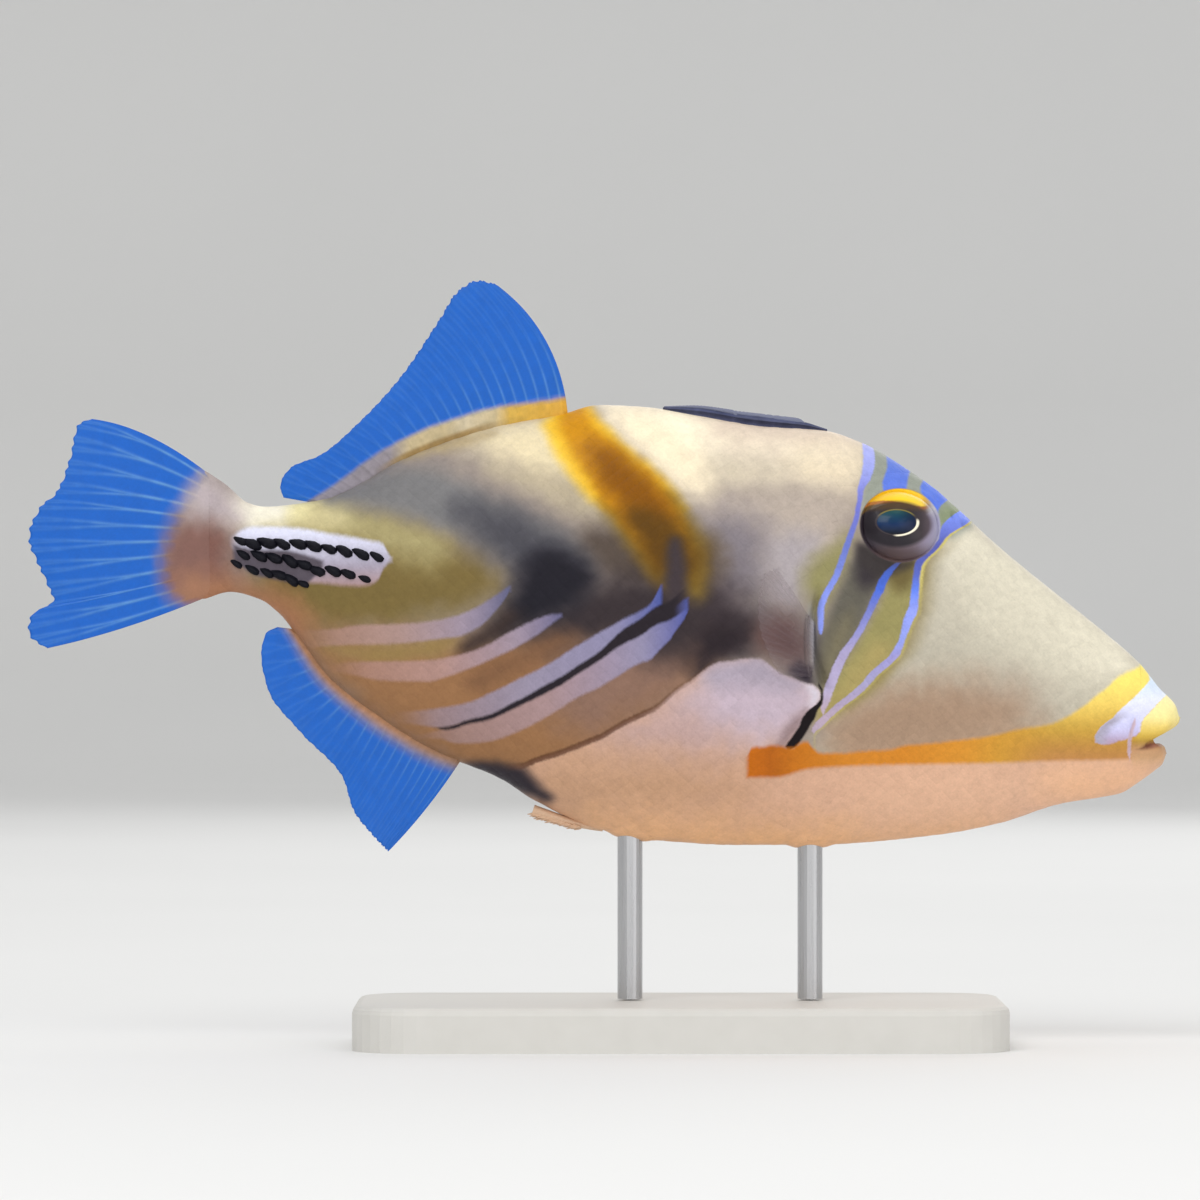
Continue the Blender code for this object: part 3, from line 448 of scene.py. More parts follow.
# The soft colours of the skin above the pale belly: the colour, how softly it ends and where
UPPER_BASE = (150, 138, 130)
UPPER_REGIONS = (
    ("cheek", (188, 181, 164), 4, ((905, 530), (950, 500), (1040, 575), (1120, 640), (1185, 690),
     (1180, 760), (1000, 770), (790, 770), (830, 720), (880, 650), (900, 600))),
    ("forehead", (230, 223, 202), 6, ((955, 505), (1050, 575), (1130, 640), (1150, 680),
     (1095, 688), (1025, 638), (965, 586), (938, 556))),
    # A painted highlight on the upper cheek
    ("cheek highlight", (214, 207, 187), 12, ((960, 560), (1010, 565), (1085, 640), (1075, 680),
     (1020, 668), (975, 628), (945, 600))),
    ("cheek middle", (183, 170, 153), 6, ((905, 690), (940, 672), (1000, 668), (1040, 690),
     (1058, 712), (1030, 726), (960, 716), (885, 715))),
    ("cheek low", (176, 148, 125), 6, ((820, 745), (840, 712), (900, 696), (960, 708), (1030, 722),
     (1050, 735), (930, 770), (830, 775))),
    ("cheek rose", (168, 140, 117), 6.5, ((838, 712), (880, 688), (960, 682), (1020, 698),
     (1010, 734), (900, 748), (836, 744))),
    # The back's own cream, painted lighter still as a highlight from the light above
    ("back cream and highlight", (251, 239, 211), 6, ((585, 395), (700, 395), (860, 425), (868, 455), (850, 482),
     (800, 474), (750, 466), (705, 470), (660, 456), (620, 425))),
    ("cream by the bar", (214, 201, 177), 4, ((652, 458), (700, 462), (780, 468), (800, 484),
     (740, 490), (700, 490), (672, 484))),
    ("back rose", (214, 196, 178), 6, ((706, 405), (790, 408), (850, 430), (862, 446), (820, 452),
     (770, 450), (712, 442))),
    ("nape", (230, 214, 186), 5, ((800, 452), (868, 452), (862, 485), (848, 500), (820, 492),
     (790, 476))),
    ("shoulder", (184, 170, 158), 5, ((692, 494), (760, 490), (850, 494), (846, 540), (820, 566),
     (780, 560), (730, 530), (700, 515))),
    ("shoulder mauve", (132, 124, 130), 6, ((702, 520), (730, 510), (765, 530), (768, 562),
     (762, 590), (735, 606), (700, 600))),
    ("brown right of the bar", (94, 76, 52), 3.6, ((696, 540), (712, 536), (722, 556), (718, 580),
     (700, 600), (694, 575))),
    ("shoulder dusk", (68, 58, 62), 6, ((690, 578), (722, 576), (748, 602), (764, 624), (740, 644),
     (700, 656), (676, 620))),
    # A pale patch by the gill, partly a painted highlight
    ("pale highlight by the gill", (172, 163, 166), 4, ((770, 530), (822, 534), (812, 562), (803, 592),
     (788, 608), (772, 604), (762, 580))),
    ("cream rear of the bar", (232, 216, 178), 5, ((440, 420), (555, 408), (575, 445), (588, 472),
     (560, 488), (535, 482), (500, 462), (462, 450))),
    ("cream low", (184, 170, 144), 4, ((486, 464), (540, 474), (586, 482), (606, 505), (602, 524),
     (575, 518), (535, 490), (495, 476))),
    ("rear olive", (120, 102, 58), 5, ((300, 515), (345, 510), (400, 525), (450, 540), (490, 560),
     (508, 585), (490, 602), (440, 620), (380, 632), (300, 632), (250, 600), (270, 560))),
    ("olive light", (168, 156, 110), 4.5, ((250, 505), (330, 498), (400, 515), (440, 530),
     (456, 552), (430, 566), (390, 556), (330, 535), (250, 535))),
    ("olive at the back", (205, 193, 145), 4, ((270, 500), (325, 500), (352, 512), (345, 530),
     (310, 528), (270, 525))),
    ("lower tan", (154, 112, 76), 6, ((260, 605), (310, 625), (380, 640), (480, 640), (560, 630),
     (650, 640), (710, 640), (710, 680), (640, 730), (570, 780), (500, 800), (420, 760),
     (350, 710), (290, 650))),
    ("tan front", (140, 108, 92), 6, ((560, 640), (640, 620), (690, 640), (695, 680), (640, 715),
     (580, 740), (540, 700))),
    # A painted shadow along the foot of the fin's sheath
    ("shadow under the fin", (184, 164, 126), 1.6, ((395, 462), (420, 448), (450, 440), (490, 430),
     (500, 434), (470, 446), (430, 456))),
    ("rear grey", (120, 119, 120), 3.1, ((322, 500), (350, 485), (392, 467), (430, 466),
     (462, 482), (494, 500), (534, 518), (560, 534), (588, 553), (600, 572), (540, 572),
     (506, 552), (470, 536), (430, 524), (400, 516), (350, 506))),
    ("slate", (76, 75, 82), 5, ((452, 510), (480, 500), (512, 508), (545, 526), (575, 546),
     (592, 562), (560, 580), (510, 572), (488, 552), (468, 530))),
    ("mauve by the bar", (86, 74, 66), 3.2, ((575, 540), (592, 526), (620, 530), (642, 552),
     (655, 578), (630, 588), (604, 572))),
    ("brown before the stripes", (54, 45, 48), 5, ((592, 578), (650, 576), (690, 580), (714, 620),
     (700, 650), (668, 664), (600, 640), (545, 652), (520, 640), (560, 612))),
    ("near black", (30, 28, 37), 3.6, ((514, 584), (524, 562), (540, 548), (566, 550), (590, 562),
     (600, 576), (586, 600), (560, 618), (530, 630), (504, 642), (492, 630), (504, 606))),
    ("tan between the first stripes", (150, 124, 76), 3, ((310, 640), (380, 646), (440, 636),
     (462, 634), (450, 655), (410, 662), (360, 664))),
    ("dark between the first stripes", (58, 45, 42), 3.2, ((462, 642), (488, 624), (510, 606),
     (522, 618), (500, 640), (480, 652), (462, 652))),
    ("brown between the next stripes", (126, 90, 64), 3.6, ((462, 676), (500, 656), (545, 634),
     (585, 634), (545, 660), (505, 682), (478, 694))),
    ("behind the fin", (42, 33, 38), 4, ((700, 628), (735, 616), (752, 630), (750, 650),
     (722, 662), (704, 678), (688, 668), (694, 642))),
    ("brown by the fin", (98, 70, 66), 3, ((752, 624), (788, 610), (806, 640), (804, 664),
     (780, 664), (756, 650))),
    ("dusk before the gill", (40, 33, 46), 1.6, ((786, 670), (797, 662), (806, 666), (812, 684),
     (800, 682))),
    ("gill cover edge", (152, 149, 156), 0.9, ((806, 600), (813, 612), (816, 634), (815, 656),
     (811, 670), (806, 656), (805, 624))),
    ("dark beside the gill cover", (104, 98, 98), 1.0, ((816, 632), (822, 628), (825, 655),
     (824, 690), (811, 686), (812, 668))),
    ("yellow green", (146, 140, 94), 3, ((848, 530), (832, 548), (808, 558), (800, 578),
     (806, 602), (818, 618), (834, 588), (850, 545))),
    ("olive of the first band", (98, 94, 84), 1.4, ((862, 545), (890, 560), (876, 590),
     (856, 630), (838, 660), (824, 692), (816, 690), (818, 640), (836, 592), (850, 560))),
    ("olive of the first band low", (122, 114, 90), 3, ((852, 610), (848, 640), (828, 680),
     (818, 690), (820, 655), (832, 625))),
    # Painted shade under the eye, which stands out from the head
    ("shade under the eye", (56, 50, 54), 2, ((862, 545), (896, 560), (884, 572), (872, 586),
     (858, 590), (852, 572))),
    ("olive of the second band", (152, 144, 92), 1.4, ((893, 560), (925, 560), (916, 604),
     (900, 650), (880, 678), (850, 702), (815, 724), (815, 700), (840, 668), (868, 622),
     (884, 585))),
    ("brown under the eye", (108, 95, 56), 2.2, ((893, 554), (924, 556), (914, 578), (904, 592),
     (890, 588), (886, 576))),
    ("olive of the second band low", (172, 155, 98), 3, ((870, 640), (892, 645), (876, 676),
     (850, 698), (815, 720), (818, 705), (845, 672))),
    ("olive crown", (150, 155, 144), 1.2, ((866, 440), (905, 448), (950, 485), (980, 520),
     (950, 540), (936, 536), (900, 536), (864, 524), (856, 510), (862, 482))),
    ("olive crown front", (140, 150, 120), 1.6, ((934, 512), (946, 502), (965, 508), (958, 522),
     (942, 530), (934, 524))),
    # Painted shade along the lower edge of the eye's ring
    ("shade below the eye ring", (58, 52, 52), 1.3, ((856, 540), (868, 548), (884, 558), (900, 562),
     (912, 562), (898, 572), (876, 578), (858, 566), (852, 550))),
    ("peduncle top", (240, 234, 214), 3, ((226, 495), (290, 495), (298, 505), (288, 522),
     (260, 528), (240, 530), (222, 522))),
    ("peduncle top front", (232, 221, 166), 2.6, ((288, 495), (316, 492), (308, 514), (292, 524))),
    ("right of the bar", (250, 234, 202), 4, ((600, 408), (660, 416), (700, 455), (712, 495),
     (690, 500), (660, 470), (630, 445))),
    ("tail base", (128, 91, 82), 5, ((150, 600), (155, 560), (165, 530), (190, 510), (235, 525),
     (236, 590), (220, 610))),
    ("tail base top", (184, 171, 174), 4, ((175, 505), (190, 475), (215, 475), (238, 500),
     (245, 526), (205, 522))),
    ("tail base low", (160, 113, 86), 4, ((175, 572), (235, 572), (250, 600), (180, 620))),
    ("under the peduncle", (166, 116, 82), 4, ((225, 586), (300, 588), (310, 650), (262, 625),
     (225, 600))),
)

# The rust bar over the shoulder, from its yellow edge inwards
BAR_REGIONS = (
    ("bar edge", (244, 196, 54), 1.5, ((570, 398), (586, 400), (595, 417), (606, 427), (620, 442),
     (635, 456), (651, 467), (668, 484), (680, 500), (688, 515), (640, 520), (602, 508),
     (585, 496), (574, 481), (562, 465), (553, 450), (548, 434), (540, 424), (560, 408))),
    ("bar edge low", (128, 102, 40), 2.2, ((594, 492), (670, 488), (688, 514), (699, 530),
     (705, 552), (706, 584), (700, 606), (650, 578), (640, 562), (630, 548), (620, 535),
     (606, 516))),
    ("bar", (204, 140, 14), 1.8, ((566, 404), (584, 404), (591, 421), (603, 434), (618, 447),
     (632, 461), (646, 473), (658, 487), (670, 504), (679, 518), (686, 533), (690, 556),
     (660, 566), (646, 557), (634, 541), (622, 524), (611, 511), (598, 499), (589, 482),
     (578, 466), (569, 450), (563, 437), (556, 424))),
    # The bar's own rust, painted darker downwards as shade
    ("shaded middle of the bar", (136, 82, 0), 3.4, ((586, 446), (610, 446), (640, 470), (662, 494),
     (676, 516), (660, 534), (632, 524), (608, 496), (594, 472))),
    ("shaded low end of the bar", (96, 64, 12), 3.4, ((622, 508), (655, 508), (684, 528), (698, 552), (698, 580),
     (660, 584), (648, 566), (634, 540))),
    ("dark in the bar", (64, 54, 58), 1.4, ((666, 540), (674, 534), (683, 542), (686, 566),
     (688, 600), (676, 612), (662, 596), (664, 566))),
)

# The soft colours of the pale belly
LOWER_BASE = (206, 164, 138)
LOWER_REGIONS = (
    ("belly front", (222, 178, 150), 10, ((760, 760), (1170, 750), (1170, 820), (960, 850),
     (780, 850))),
    ("white patch", (196, 178, 191), 6, ((830, 690), (800, 670), (770, 658), (745, 655),
     (715, 662), (690, 680), (668, 706), (690, 730), (740, 744), (790, 742), (818, 715))),
    ("top of the patch", (174, 162, 177), 2.6, ((700, 674), (722, 660), (762, 654), (788, 674),
     (806, 684), (790, 692), (740, 682), (712, 690))),
    # A painted highlight along the patch's top edge by the wedge
    ("highlight on the rim of the patch", (216, 208, 220), 1.0, ((800, 680), (812, 684), (819, 692),
     (816, 702), (806, 706), (811, 694))),
    ("shade by the wedge", (140, 118, 120), 1.6, ((806, 708), (802, 712), (797, 724), (788, 738),
     (776, 748), (780, 736), (790, 720))),
    ("belly middle", (192, 162, 158), 8, ((600, 740), (650, 705), (690, 704), (720, 738),
     (700, 756), (640, 758))),
    ("belly pink", (198, 156, 124), 8, ((530, 768), (600, 756), (700, 768), (760, 788),
     (700, 806), (600, 816), (540, 800))),
    ("belly low", (244, 190, 140), 7, ((560, 820), (700, 822), (850, 830), (1000, 815),
     (1000, 850), (800, 860), (600, 845))),
    ("throat", (228, 184, 154), 10, ((860, 768), (1080, 765), (1090, 790), (960, 825),
     (860, 830))),
    ("chin", (238, 188, 150), 6, ((1040, 764), (1150, 760), (1165, 780), (1110, 805),
     (1050, 805))),
)

# The lattice on which the soft colours are laid out, over the whole side view
LATTICE_STEP = 0.45
LATTICE_X = np.arange(-137, 106, LATTICE_STEP)
LATTICE_Z = np.arange(33, 158, LATTICE_STEP)
FINE_SEED = 3
COARSE_SEED = 53


def painted(base, regions):
    """The colours of the side view as a lattice, with each region laid over those before it."""
    x, z = np.meshgrid(LATTICE_X, LATTICE_Z, indexing="ij")
    image = np.empty((*x.shape, 3))
    image[:] = base
    for number, (_, colour, softness, outline) in enumerate(regions):
        outline = rounded(to_mm(outline))
        reach = softness * 1.6
        low_x, low_z = outline.min(axis=0) - reach
        high_x, high_z = outline.max(axis=0) + reach
        i = slice(*np.searchsorted(LATTICE_X, (low_x, high_x)))
        j = slice(*np.searchsorted(LATTICE_Z, (low_z, high_z)))
        depth = depth_inside(x[i, j], z[i, j], outline)
        depth = depth + 0.16 * softness * wander(x[i, j], z[i, j], 1.5, FINE_SEED + number)
        depth = depth + 0.14 * softness * wander(x[i, j], z[i, j], 4.0, COARSE_SEED + number)
        cover = smooth(-softness, softness, depth)[..., None]
        image[i, j] = image[i, j] * (1 - cover) + np.array(colour) * cover
    return linear(image)


def sampled(image, x, z):
    """The lattice's colours at any points of the side view."""
    return looked_up(image, (x - LATTICE_X[0]) / LATTICE_STEP, (z - LATTICE_Z[0]) / LATTICE_STEP)


def soft_colours(points):
    """The soft colours of the skin at its points, above and below the edge of the pale belly."""
    x, z = points[:, 0], points[:, 2]
    return {"upper": sampled(upper_image, x, z), "lower": sampled(lower_image, x, z)}


VENT = ("vent", (48, 42, 50), 1.6, (
    (462, 764), (480, 760), (500, 762), (520, 765), (527, 770), (540, 784), (554, 798), (548, 802),
    (530, 797), (515, 792), (500, 786), (484, 778),
))
upper_image = painted(UPPER_BASE, UPPER_REGIONS + BAR_REGIONS + (VENT,))
lower_image = painted(LOWER_BASE, LOWER_REGIONS + (VENT,))


def add_piece(name, points, faces, look, uv=None, colours=None, numbers=None, flat=0):
    """A mesh piece that rides on the model, from points in millimetres.

    The faces are arrays, each with one number of corners. The uv holds one place per face corner.
    The last faces, as many as flat says, are shaded flat.
    """
    mesh = bpy.data.meshes.new(name)
    points = np.asarray(points, float).reshape(-1, 3) * MM
    mesh.vertices.add(len(points))
    mesh.vertices.foreach_set("co", points.astype(np.float32).ravel())
    corners = np.concatenate([np.asarray(f).ravel() for f in faces]).astype(np.int32)
    sizes = np.concatenate([np.full(len(f), np.shape(f)[1]) for f in faces])
    starts = np.concatenate([[0], np.cumsum(sizes)[:-1]]).astype(np.int32)
    mesh.loops.add(len(corners))
    mesh.loops.foreach_set("vertex_index", corners)
    mesh.polygons.add(len(sizes))
    mesh.polygons.foreach_set("loop_start", starts)
    mesh.update(calc_edges=True)
    mesh.shade_smooth()
    if flat:
        sharp = mesh.attributes.new("sharp_face", "BOOLEAN", "FACE")
        sharp.data.foreach_set("value", np.arange(len(sizes)) >= len(sizes) - flat)
    for key, values in (colours or {}).items():
        values = np.concatenate([values.reshape(-1, 3), np.ones((len(points), 1))], axis=1)
        made = mesh.attributes.new(key, "FLOAT_COLOR", "POINT")
        made.data.foreach_set("color", values.astype(np.float32).ravel())
    for key, values in (numbers or {}).items():
        made = mesh.attributes.new(key, "FLOAT", "POINT")
        made.data.foreach_set("value", np.asarray(values, np.float32).ravel())
    if uv is not None:
        layer = mesh.uv_layers.new(name="OFBake")
        layer.data.foreach_set("uv", np.asarray(uv, np.float32).ravel())
    mesh.materials.append(look)
    piece = bpy.data.objects.new(name, mesh)
    bpy.context.scene.collection.objects.link(piece)
    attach(piece, "root")
    return piece


def grid_quads(rows, columns, closed=False):
    """The quads of a grid of points. Where closed, its last column meets its first."""
    spans = columns if closed else columns - 1
    i, j = np.meshgrid(np.arange(rows - 1), np.arange(spans), indexing="ij")
    near = i * columns
    far = near + columns
    after = (j + 1) % columns
    return np.stack([near + j, far + j, far + after, near + after], axis=-1).reshape(-1, 4)


# The corners of a quad in the other turn, from the same first corner
TURNED = [0, 3, 2, 1]


def sheet_faces(rows, columns):
    """The faces of a closed sheet: its front, its back, whose points follow the front's, and its edge."""
    front = grid_quads(rows, columns)
    shift = rows * columns
    i = np.arange(rows - 1) * columns
    j = np.arange(columns - 1)
    last = shift - columns
    rims = (
        (i + columns, i),
        (i + columns - 1, i + 2 * columns - 1),
        (j, j + 1),
        (last + j + 1, last + j),
    )
    start, end = np.concatenate(rims, axis=1)
    edge = np.stack([end, end + shift, start + shift, start], axis=-1)
    return [front, front[:, ::-1] + shift, edge]


def tube_faces(steps, around):
    """The faces of a closed tube of rings: its wall and the two ends."""
    ring = np.arange(around)[None, :]
    wall = grid_quads(steps, around, closed=True)[:, TURNED]
    return [wall, ring[:, ::-1], (steps - 1) * around + ring]


def spread(density, low, high, count):
    """This many places from low to high, closer together where the density is higher."""
    at = np.linspace(low, high, 4000)
    run = np.concatenate([[0], np.cumsum((density(at[1:]) + density(at[:-1])) / 2 * np.diff(at))])
    return np.interp(np.linspace(0, run[-1], count), run, at)


class Paint:
    """The nodes of one material. Each method adds nodes and gives the output of the last."""

    def __init__(self, name):
        self.material = bpy.data.materials.new(name)
        self.material.use_nodes = True
        self.tree = self.material.node_tree
        self.shader = self.tree.nodes["Principled BSDF"]

    def put(self, socket, value):
        if isinstance(value, bpy.types.NodeSocket):
            self.tree.links.new(value, socket)
        else:
            socket.default_value = value

    def set(self, name, value):
        self.put(self.shader.inputs[name], value)

    def add(self, kind, values=(), output=0, **settings):
        node = self.tree.nodes.new(kind)
        for key, value in settings.items():
            setattr(node, key, value)
        places = values.items() if isinstance(values, dict) else enumerate(values)
        for place, value in places:
            self.put(node.inputs[place], value)
        return node.outputs[output]

    def math(self, operation, *values):
        return self.add("ShaderNodeMath", values, operation=operation)

    def rise(self, value, low, high, start=0.0, end=1.0):
        """From start to end, smoothly, as the value goes from low to high."""
        values = (value, low, high, start, end)
        return self.add("ShaderNodeMapRange", values, interpolation_type="SMOOTHSTEP")

    def mix(self, share, under, over):
        """The colour under, covered by the colour over."""
        values = {0: share, 6: colour(under), 7: colour(over)}
        return self.add("ShaderNodeMix", values, output=2, data_type="RGBA")

    def times(self, under, over):
        values = {0: 1.0, 6: colour(under), 7: colour(over)}
        return self.add("ShaderNodeMix", values, output=2, data_type="RGBA", blend_type="MULTIPLY")

    def noise(self, place, scale, detail=2.0):
        """Noise of about 0 to 1, whose patches are some 1/scale of a metre."""
        return self.add("ShaderNodeTexNoise", {"Vector": place, "Scale": scale, "Detail": detail})

    def ramp(self, value, stops):
        """Colours along a coordinate of the photograph's frame, each at its point."""
        node = self.tree.nodes.new("ShaderNodeValToRGB")
        elements = node.color_ramp.elements
        elements[0].position = stops[0][0] / FRAME_POINTS
        elements[1].position = stops[-1][0] / FRAME_POINTS
        for at, _ in stops[1:-1]:
            elements.new(at / FRAME_POINTS)
        for element, (_, shade) in zip(elements, stops):
            element.color = colour(shade)
        self.put(node.inputs[0], value)
        return node.outputs[0]

    def curve(self, value, knots):
        """A smooth line through points of the photograph's frame."""
        node = self.tree.nodes.new("ShaderNodeFloatCurve")
        node.mapping.extend = "HORIZONTAL"
        node.mapping.use_clip = False
        line = node.mapping.curves[0]
        knots = sorted((a / FRAME_POINTS, b / FRAME_POINTS) for a, b in knots)
        line.points[0].location = knots[0]
        line.points[1].location = knots[-1]
        for knot in knots[1:-1]:
            line.points.new(*knot)
        for point in line.points:
            point.handle_type = "AUTO_CLAMPED"
        node.mapping.update()
        self.put(node.inputs["Value"], value)
        return node.outputs[0]

    def attribute(self, name, output="Color"):
        return self.add("ShaderNodeAttribute", output=output, attribute_name=name)


def colour(value):
    """A screen colour of 0 to 255 as a shader colour. A socket stays as it is."""
    if isinstance(value, bpy.types.NodeSocket):
        return value
    return (*linear(value), 1.0)


FRAME_MM = FRAME_POINTS * POINT_MM


class SidePaint(Paint):
    """A material painted by places in the photograph's frame, the same on both sides of the fish."""

    def __init__(self, name, rag=0.34):
        super().__init__(name)
        self.place = self.add("ShaderNodeTexCoord", output="Object")
        parts = self.add("ShaderNodeSeparateXYZ", (self.place,))
        parts = parts.node.outputs
        scale = 1000 / FRAME_MM
        self.px = self.math("MULTIPLY_ADD", parts[0], scale, ORIGIN_PX[0] / FRAME_POINTS)
        self.py = self.math("MULTIPLY_ADD", parts[2], -scale, ORIGIN_PX[1] / FRAME_POINTS)
        coarse = self.noise(self.place, 900.0, 2.0)
        self.grain = self.noise(self.place, 2400.0, 3.0)
        both = self.math("ADD", coarse, self.grain)
        self.rag = self.math("MULTIPLY_ADD", both, rag, -rag)

    def within(self, depth, soft):
        """How far a place is covered, from its depth inside an edge as a share of the frame."""
        ragged = self.math("MULTIPLY_ADD", depth, FRAME_MM, self.rag)
        return self.rise(ragged, -soft / 2, soft / 2)

    def fade(self, along, places, start=0.0, end=1.0):
        """From start to end, smoothly, between two places of the photograph's frame."""
        return self.rise(along, places[0] / FRAME_POINTS, places[1] / FRAME_POINTS, start, end)

    def past(self, across, along, edge, soft):
        """The cover beyond a line, on the side where the places across are larger."""
        return self.within(self.math("SUBTRACT", across, self.curve(along, edge)), soft)

    def band(self, top, bottom, start, end, soft=0.55, upright=False):
        """The cover between two lines from start to end: (py, px) where upright, else (px, py)."""
        along, across = (self.py, self.px) if upright else (self.px, self.py)
        above = self.math("SUBTRACT", across, self.curve(along, top))
        below = self.math("SUBTRACT", self.curve(along, bottom), across)
        behind = self.math("SUBTRACT", along, start / FRAME_POINTS)
        ahead = self.math("SUBTRACT", end / FRAME_POINTS, along)
        ends = self.math("MINIMUM", behind, ahead)
        depth = self.math("MINIMUM", self.math("MINIMUM", above, below), ends)
        return self.within(depth, soft)

    def stroke(self, centre, reach, upright=True, soft=0.5):
        """The cover of a line with its half width along it: (py, px) where upright, else (px, py)."""
        along, across = (self.py, self.px) if upright else (self.px, self.py)
        apart = self.math("SUBTRACT", across, self.curve(along, centre))
        depth = self.math("SUBTRACT", self.curve(along, reach), self.math("ABSOLUTE", apart))
        return self.within(depth, soft)

    def both(self, first, second):
        return self.math("MULTIPLY", first, second)


# The stripes from the belly up to the flank: upper line, lower line, first and last place along
BLACK_LINE = (
    (430, 726), (445, 728), (470, 721), (490, 716.5), (510, 707), (530, 697), (545, 689),
    (560, 681), (580, 668), (600, 655), (612, 645), (622, 637), (640, 627), (655, 616), (670, 610),
    (685, 598),
)
BLACK_REACH = (
    (430, -3), (440, 0.6), (445, 1.4), (470, 2.2), (490, 2.5), (510, 3.2), (530, 3.4), (545, 4.2),
    (580, 4.2), (600, 4.6), (612, 5.8), (622, 7.2), (640, 8.5), (655, 9), (670, 9.5), (685, 11),
)
STRIPES = (
    (((300, 630), (340, 629), (350, 626), (400, 624), (440, 620), (465, 613), (480, 606),
      (490, 600), (510, 586)),
     ((300, 648), (340, 645), (400, 643), (420, 641), (445, 638), (460, 636), (470, 632),
      (482, 625), (490, 618), (498, 609), (505, 600), (510, 590)), 292, 511),
    (((330, 664), (350, 662), (400, 661), (430, 660), (450, 657), (470, 652), (490, 644),
      (505, 635), (520, 627), (540, 618), (555, 614), (562, 614)),
     ((340, 672), (360, 676), (380, 680), (430, 681), (445, 677), (460, 672), (480, 664),
      (500, 655), (515, 648), (530, 639), (540, 633), (550, 625), (562, 616)), 322, 562),
    (((400, 712), (430, 709), (450, 706), (475, 700), (490, 693), (505, 686), (520, 678),
      (535, 671), (555, 660), (570, 650), (580, 644), (600, 632), (615, 624), (625, 618),
      (640, 611), (650, 604), (655, 596), (660, 584)), ((400, 722), *BLACK_LINE[:-2]), 392, 661),
    (((420, 735), *BLACK_LINE[1:]),
     ((440, 738), (460, 743), (480, 742), (500, 738), (520, 730), (540, 720), (560, 708),
      (575, 698), (600, 686), (615, 677), (640, 662), (650, 659), (660, 648), (670, 638),
      (675, 630), (684, 618), (688, 606)), 410, 687),
)
STRIPE_COLOURS = (
    ((160, 120, 96), (174, 144, 138), (156, 142, 160), (94, 96, 132)),
    ((164, 122, 100), (178, 142, 134), (160, 144, 160), (104, 102, 140)),
    ((156, 124, 114), (152, 144, 166), (142, 138, 172), (74, 88, 160)),
    ((158, 124, 110), (170, 142, 144), (148, 142, 172), (78, 88, 160)),
)
# The blue lines from the eye down to the gill, as (py, px)
FIRST_LINE = (
    (445, 867), (455, 868), (465, 867.5), (475, 865.5), (485, 861.5), (490, 859), (500, 858),
    (510, 856), (520, 854), (530, 850.5), (540, 847), (550, 843.5), (560, 840), (570, 836.5),
    (580, 832), (590, 826), (600, 821), (607, 819), (615, 818.5), (628, 818.5),
)
FIRST_REACH = (
    (430, 5), (445, 5), (455, 6), (475, 5.5), (485, 4.2), (490, 3), (500, 2.5), (520, 2.6),
    (550, 3.2), (570, 3.5), (600, 3.4), (620, 2.8), (632, 1.6), (638, -3),
)
SECOND_LINE = (
    (562, 897), (567, 891), (570, 887.5), (575, 884.5), (580, 881), (590, 877), (600, 872),
    (610, 867.5), (620, 862.5), (630, 857.5), (640, 851), (650, 844), (660, 838), (670, 834),
    (680, 830), (690, 826), (700, 824), (708, 821),
)
SECOND_REACH = (
    (546, -3), (554, -1), (562, 2), (570, 4), (590, 4.5), (600, 4), (620, 3.7), (640, 4.2), (650, 5),
    (690, 5), (700, 3.8), (710, 2), (718, -3),
)
THIRD_LINE = (
    (511, 963), (516, 960.5), (521, 957.5), (526, 951.5), (532, 944.5), (540, 939), (546, 934),
    (550, 930), (555, 924), (560, 919), (565, 916), (570, 915), (580, 913.5),
    (590, 912.5), (600, 911.5), (610, 910), (615, 908), (620, 905.5), (630, 902.5), (640, 899),
    (650, 894.5), (655, 892), (660, 886.5), (665, 881), (670, 875), (675, 869.5), (680, 866),
    (685, 861), (690, 856), (695, 850), (700, 843.5), (705, 836.5), (710, 831.5), (715, 825.5),
    (720, 820), (725, 816), (730, 811),
)
THIRD_REACH = (
    (500, 3), (511, 4), (516, 9.5), (521, 12.5), (526, 11.5), (532, 7), (540, 3.2), (546, 4),
    (555, 5), (560, 4.5), (570, 3.3), (590, 3.7), (605, 4.5), (615, 5.5), (622, 4.5), (640, 3.2),
    (650, 4.3), (670, 5.5), (680, 4.5), (690, 5.5), (700, 5.5), (710, 4.8), (720, 5), (728, 3.5),
    (735, -3),
)
# The blue bands over the crown, as (py, px): the rear edge and the front edge
CROWN_BANDS = (
    (((450, 888), (457, 886), (465, 886.5), (475, 884), (485, 881), (492, 882)),
     ((450, 918), (462, 915), (469, 911), (475, 908), (480, 907), (488, 905), (495, 905)), 498),
    (((470, 926), (478, 924), (482, 922), (490, 919), (495, 921), (500, 925), (508, 933),
      (512, 936)),
     ((470, 970), (485, 960), (497, 952), (501, 946), (504, 941), (508, 938), (512, 936)), 513),
)
PATCH_TOP = (
    (522, 766), (528, 763), (540, 758), (560, 752), (570, 748), (590, 740), (600, 736), (620, 724),
    (640, 714), (655, 707), (670, 694), (680, 686), (690, 680), (700, 672), (714, 663), (733, 660),
    (747, 658), (757, 658), (764, 661), (770, 666), (780, 673), (790, 677), (800, 681), (805, 683),
    (811, 684), (817, 689), (820, 695),
)
BELLY_TOP = (
    (500, 800), (600, 780), (745, 760), (790, 757), (923, 756), (1051, 752), (1150, 748),
    (1200, 746),
)
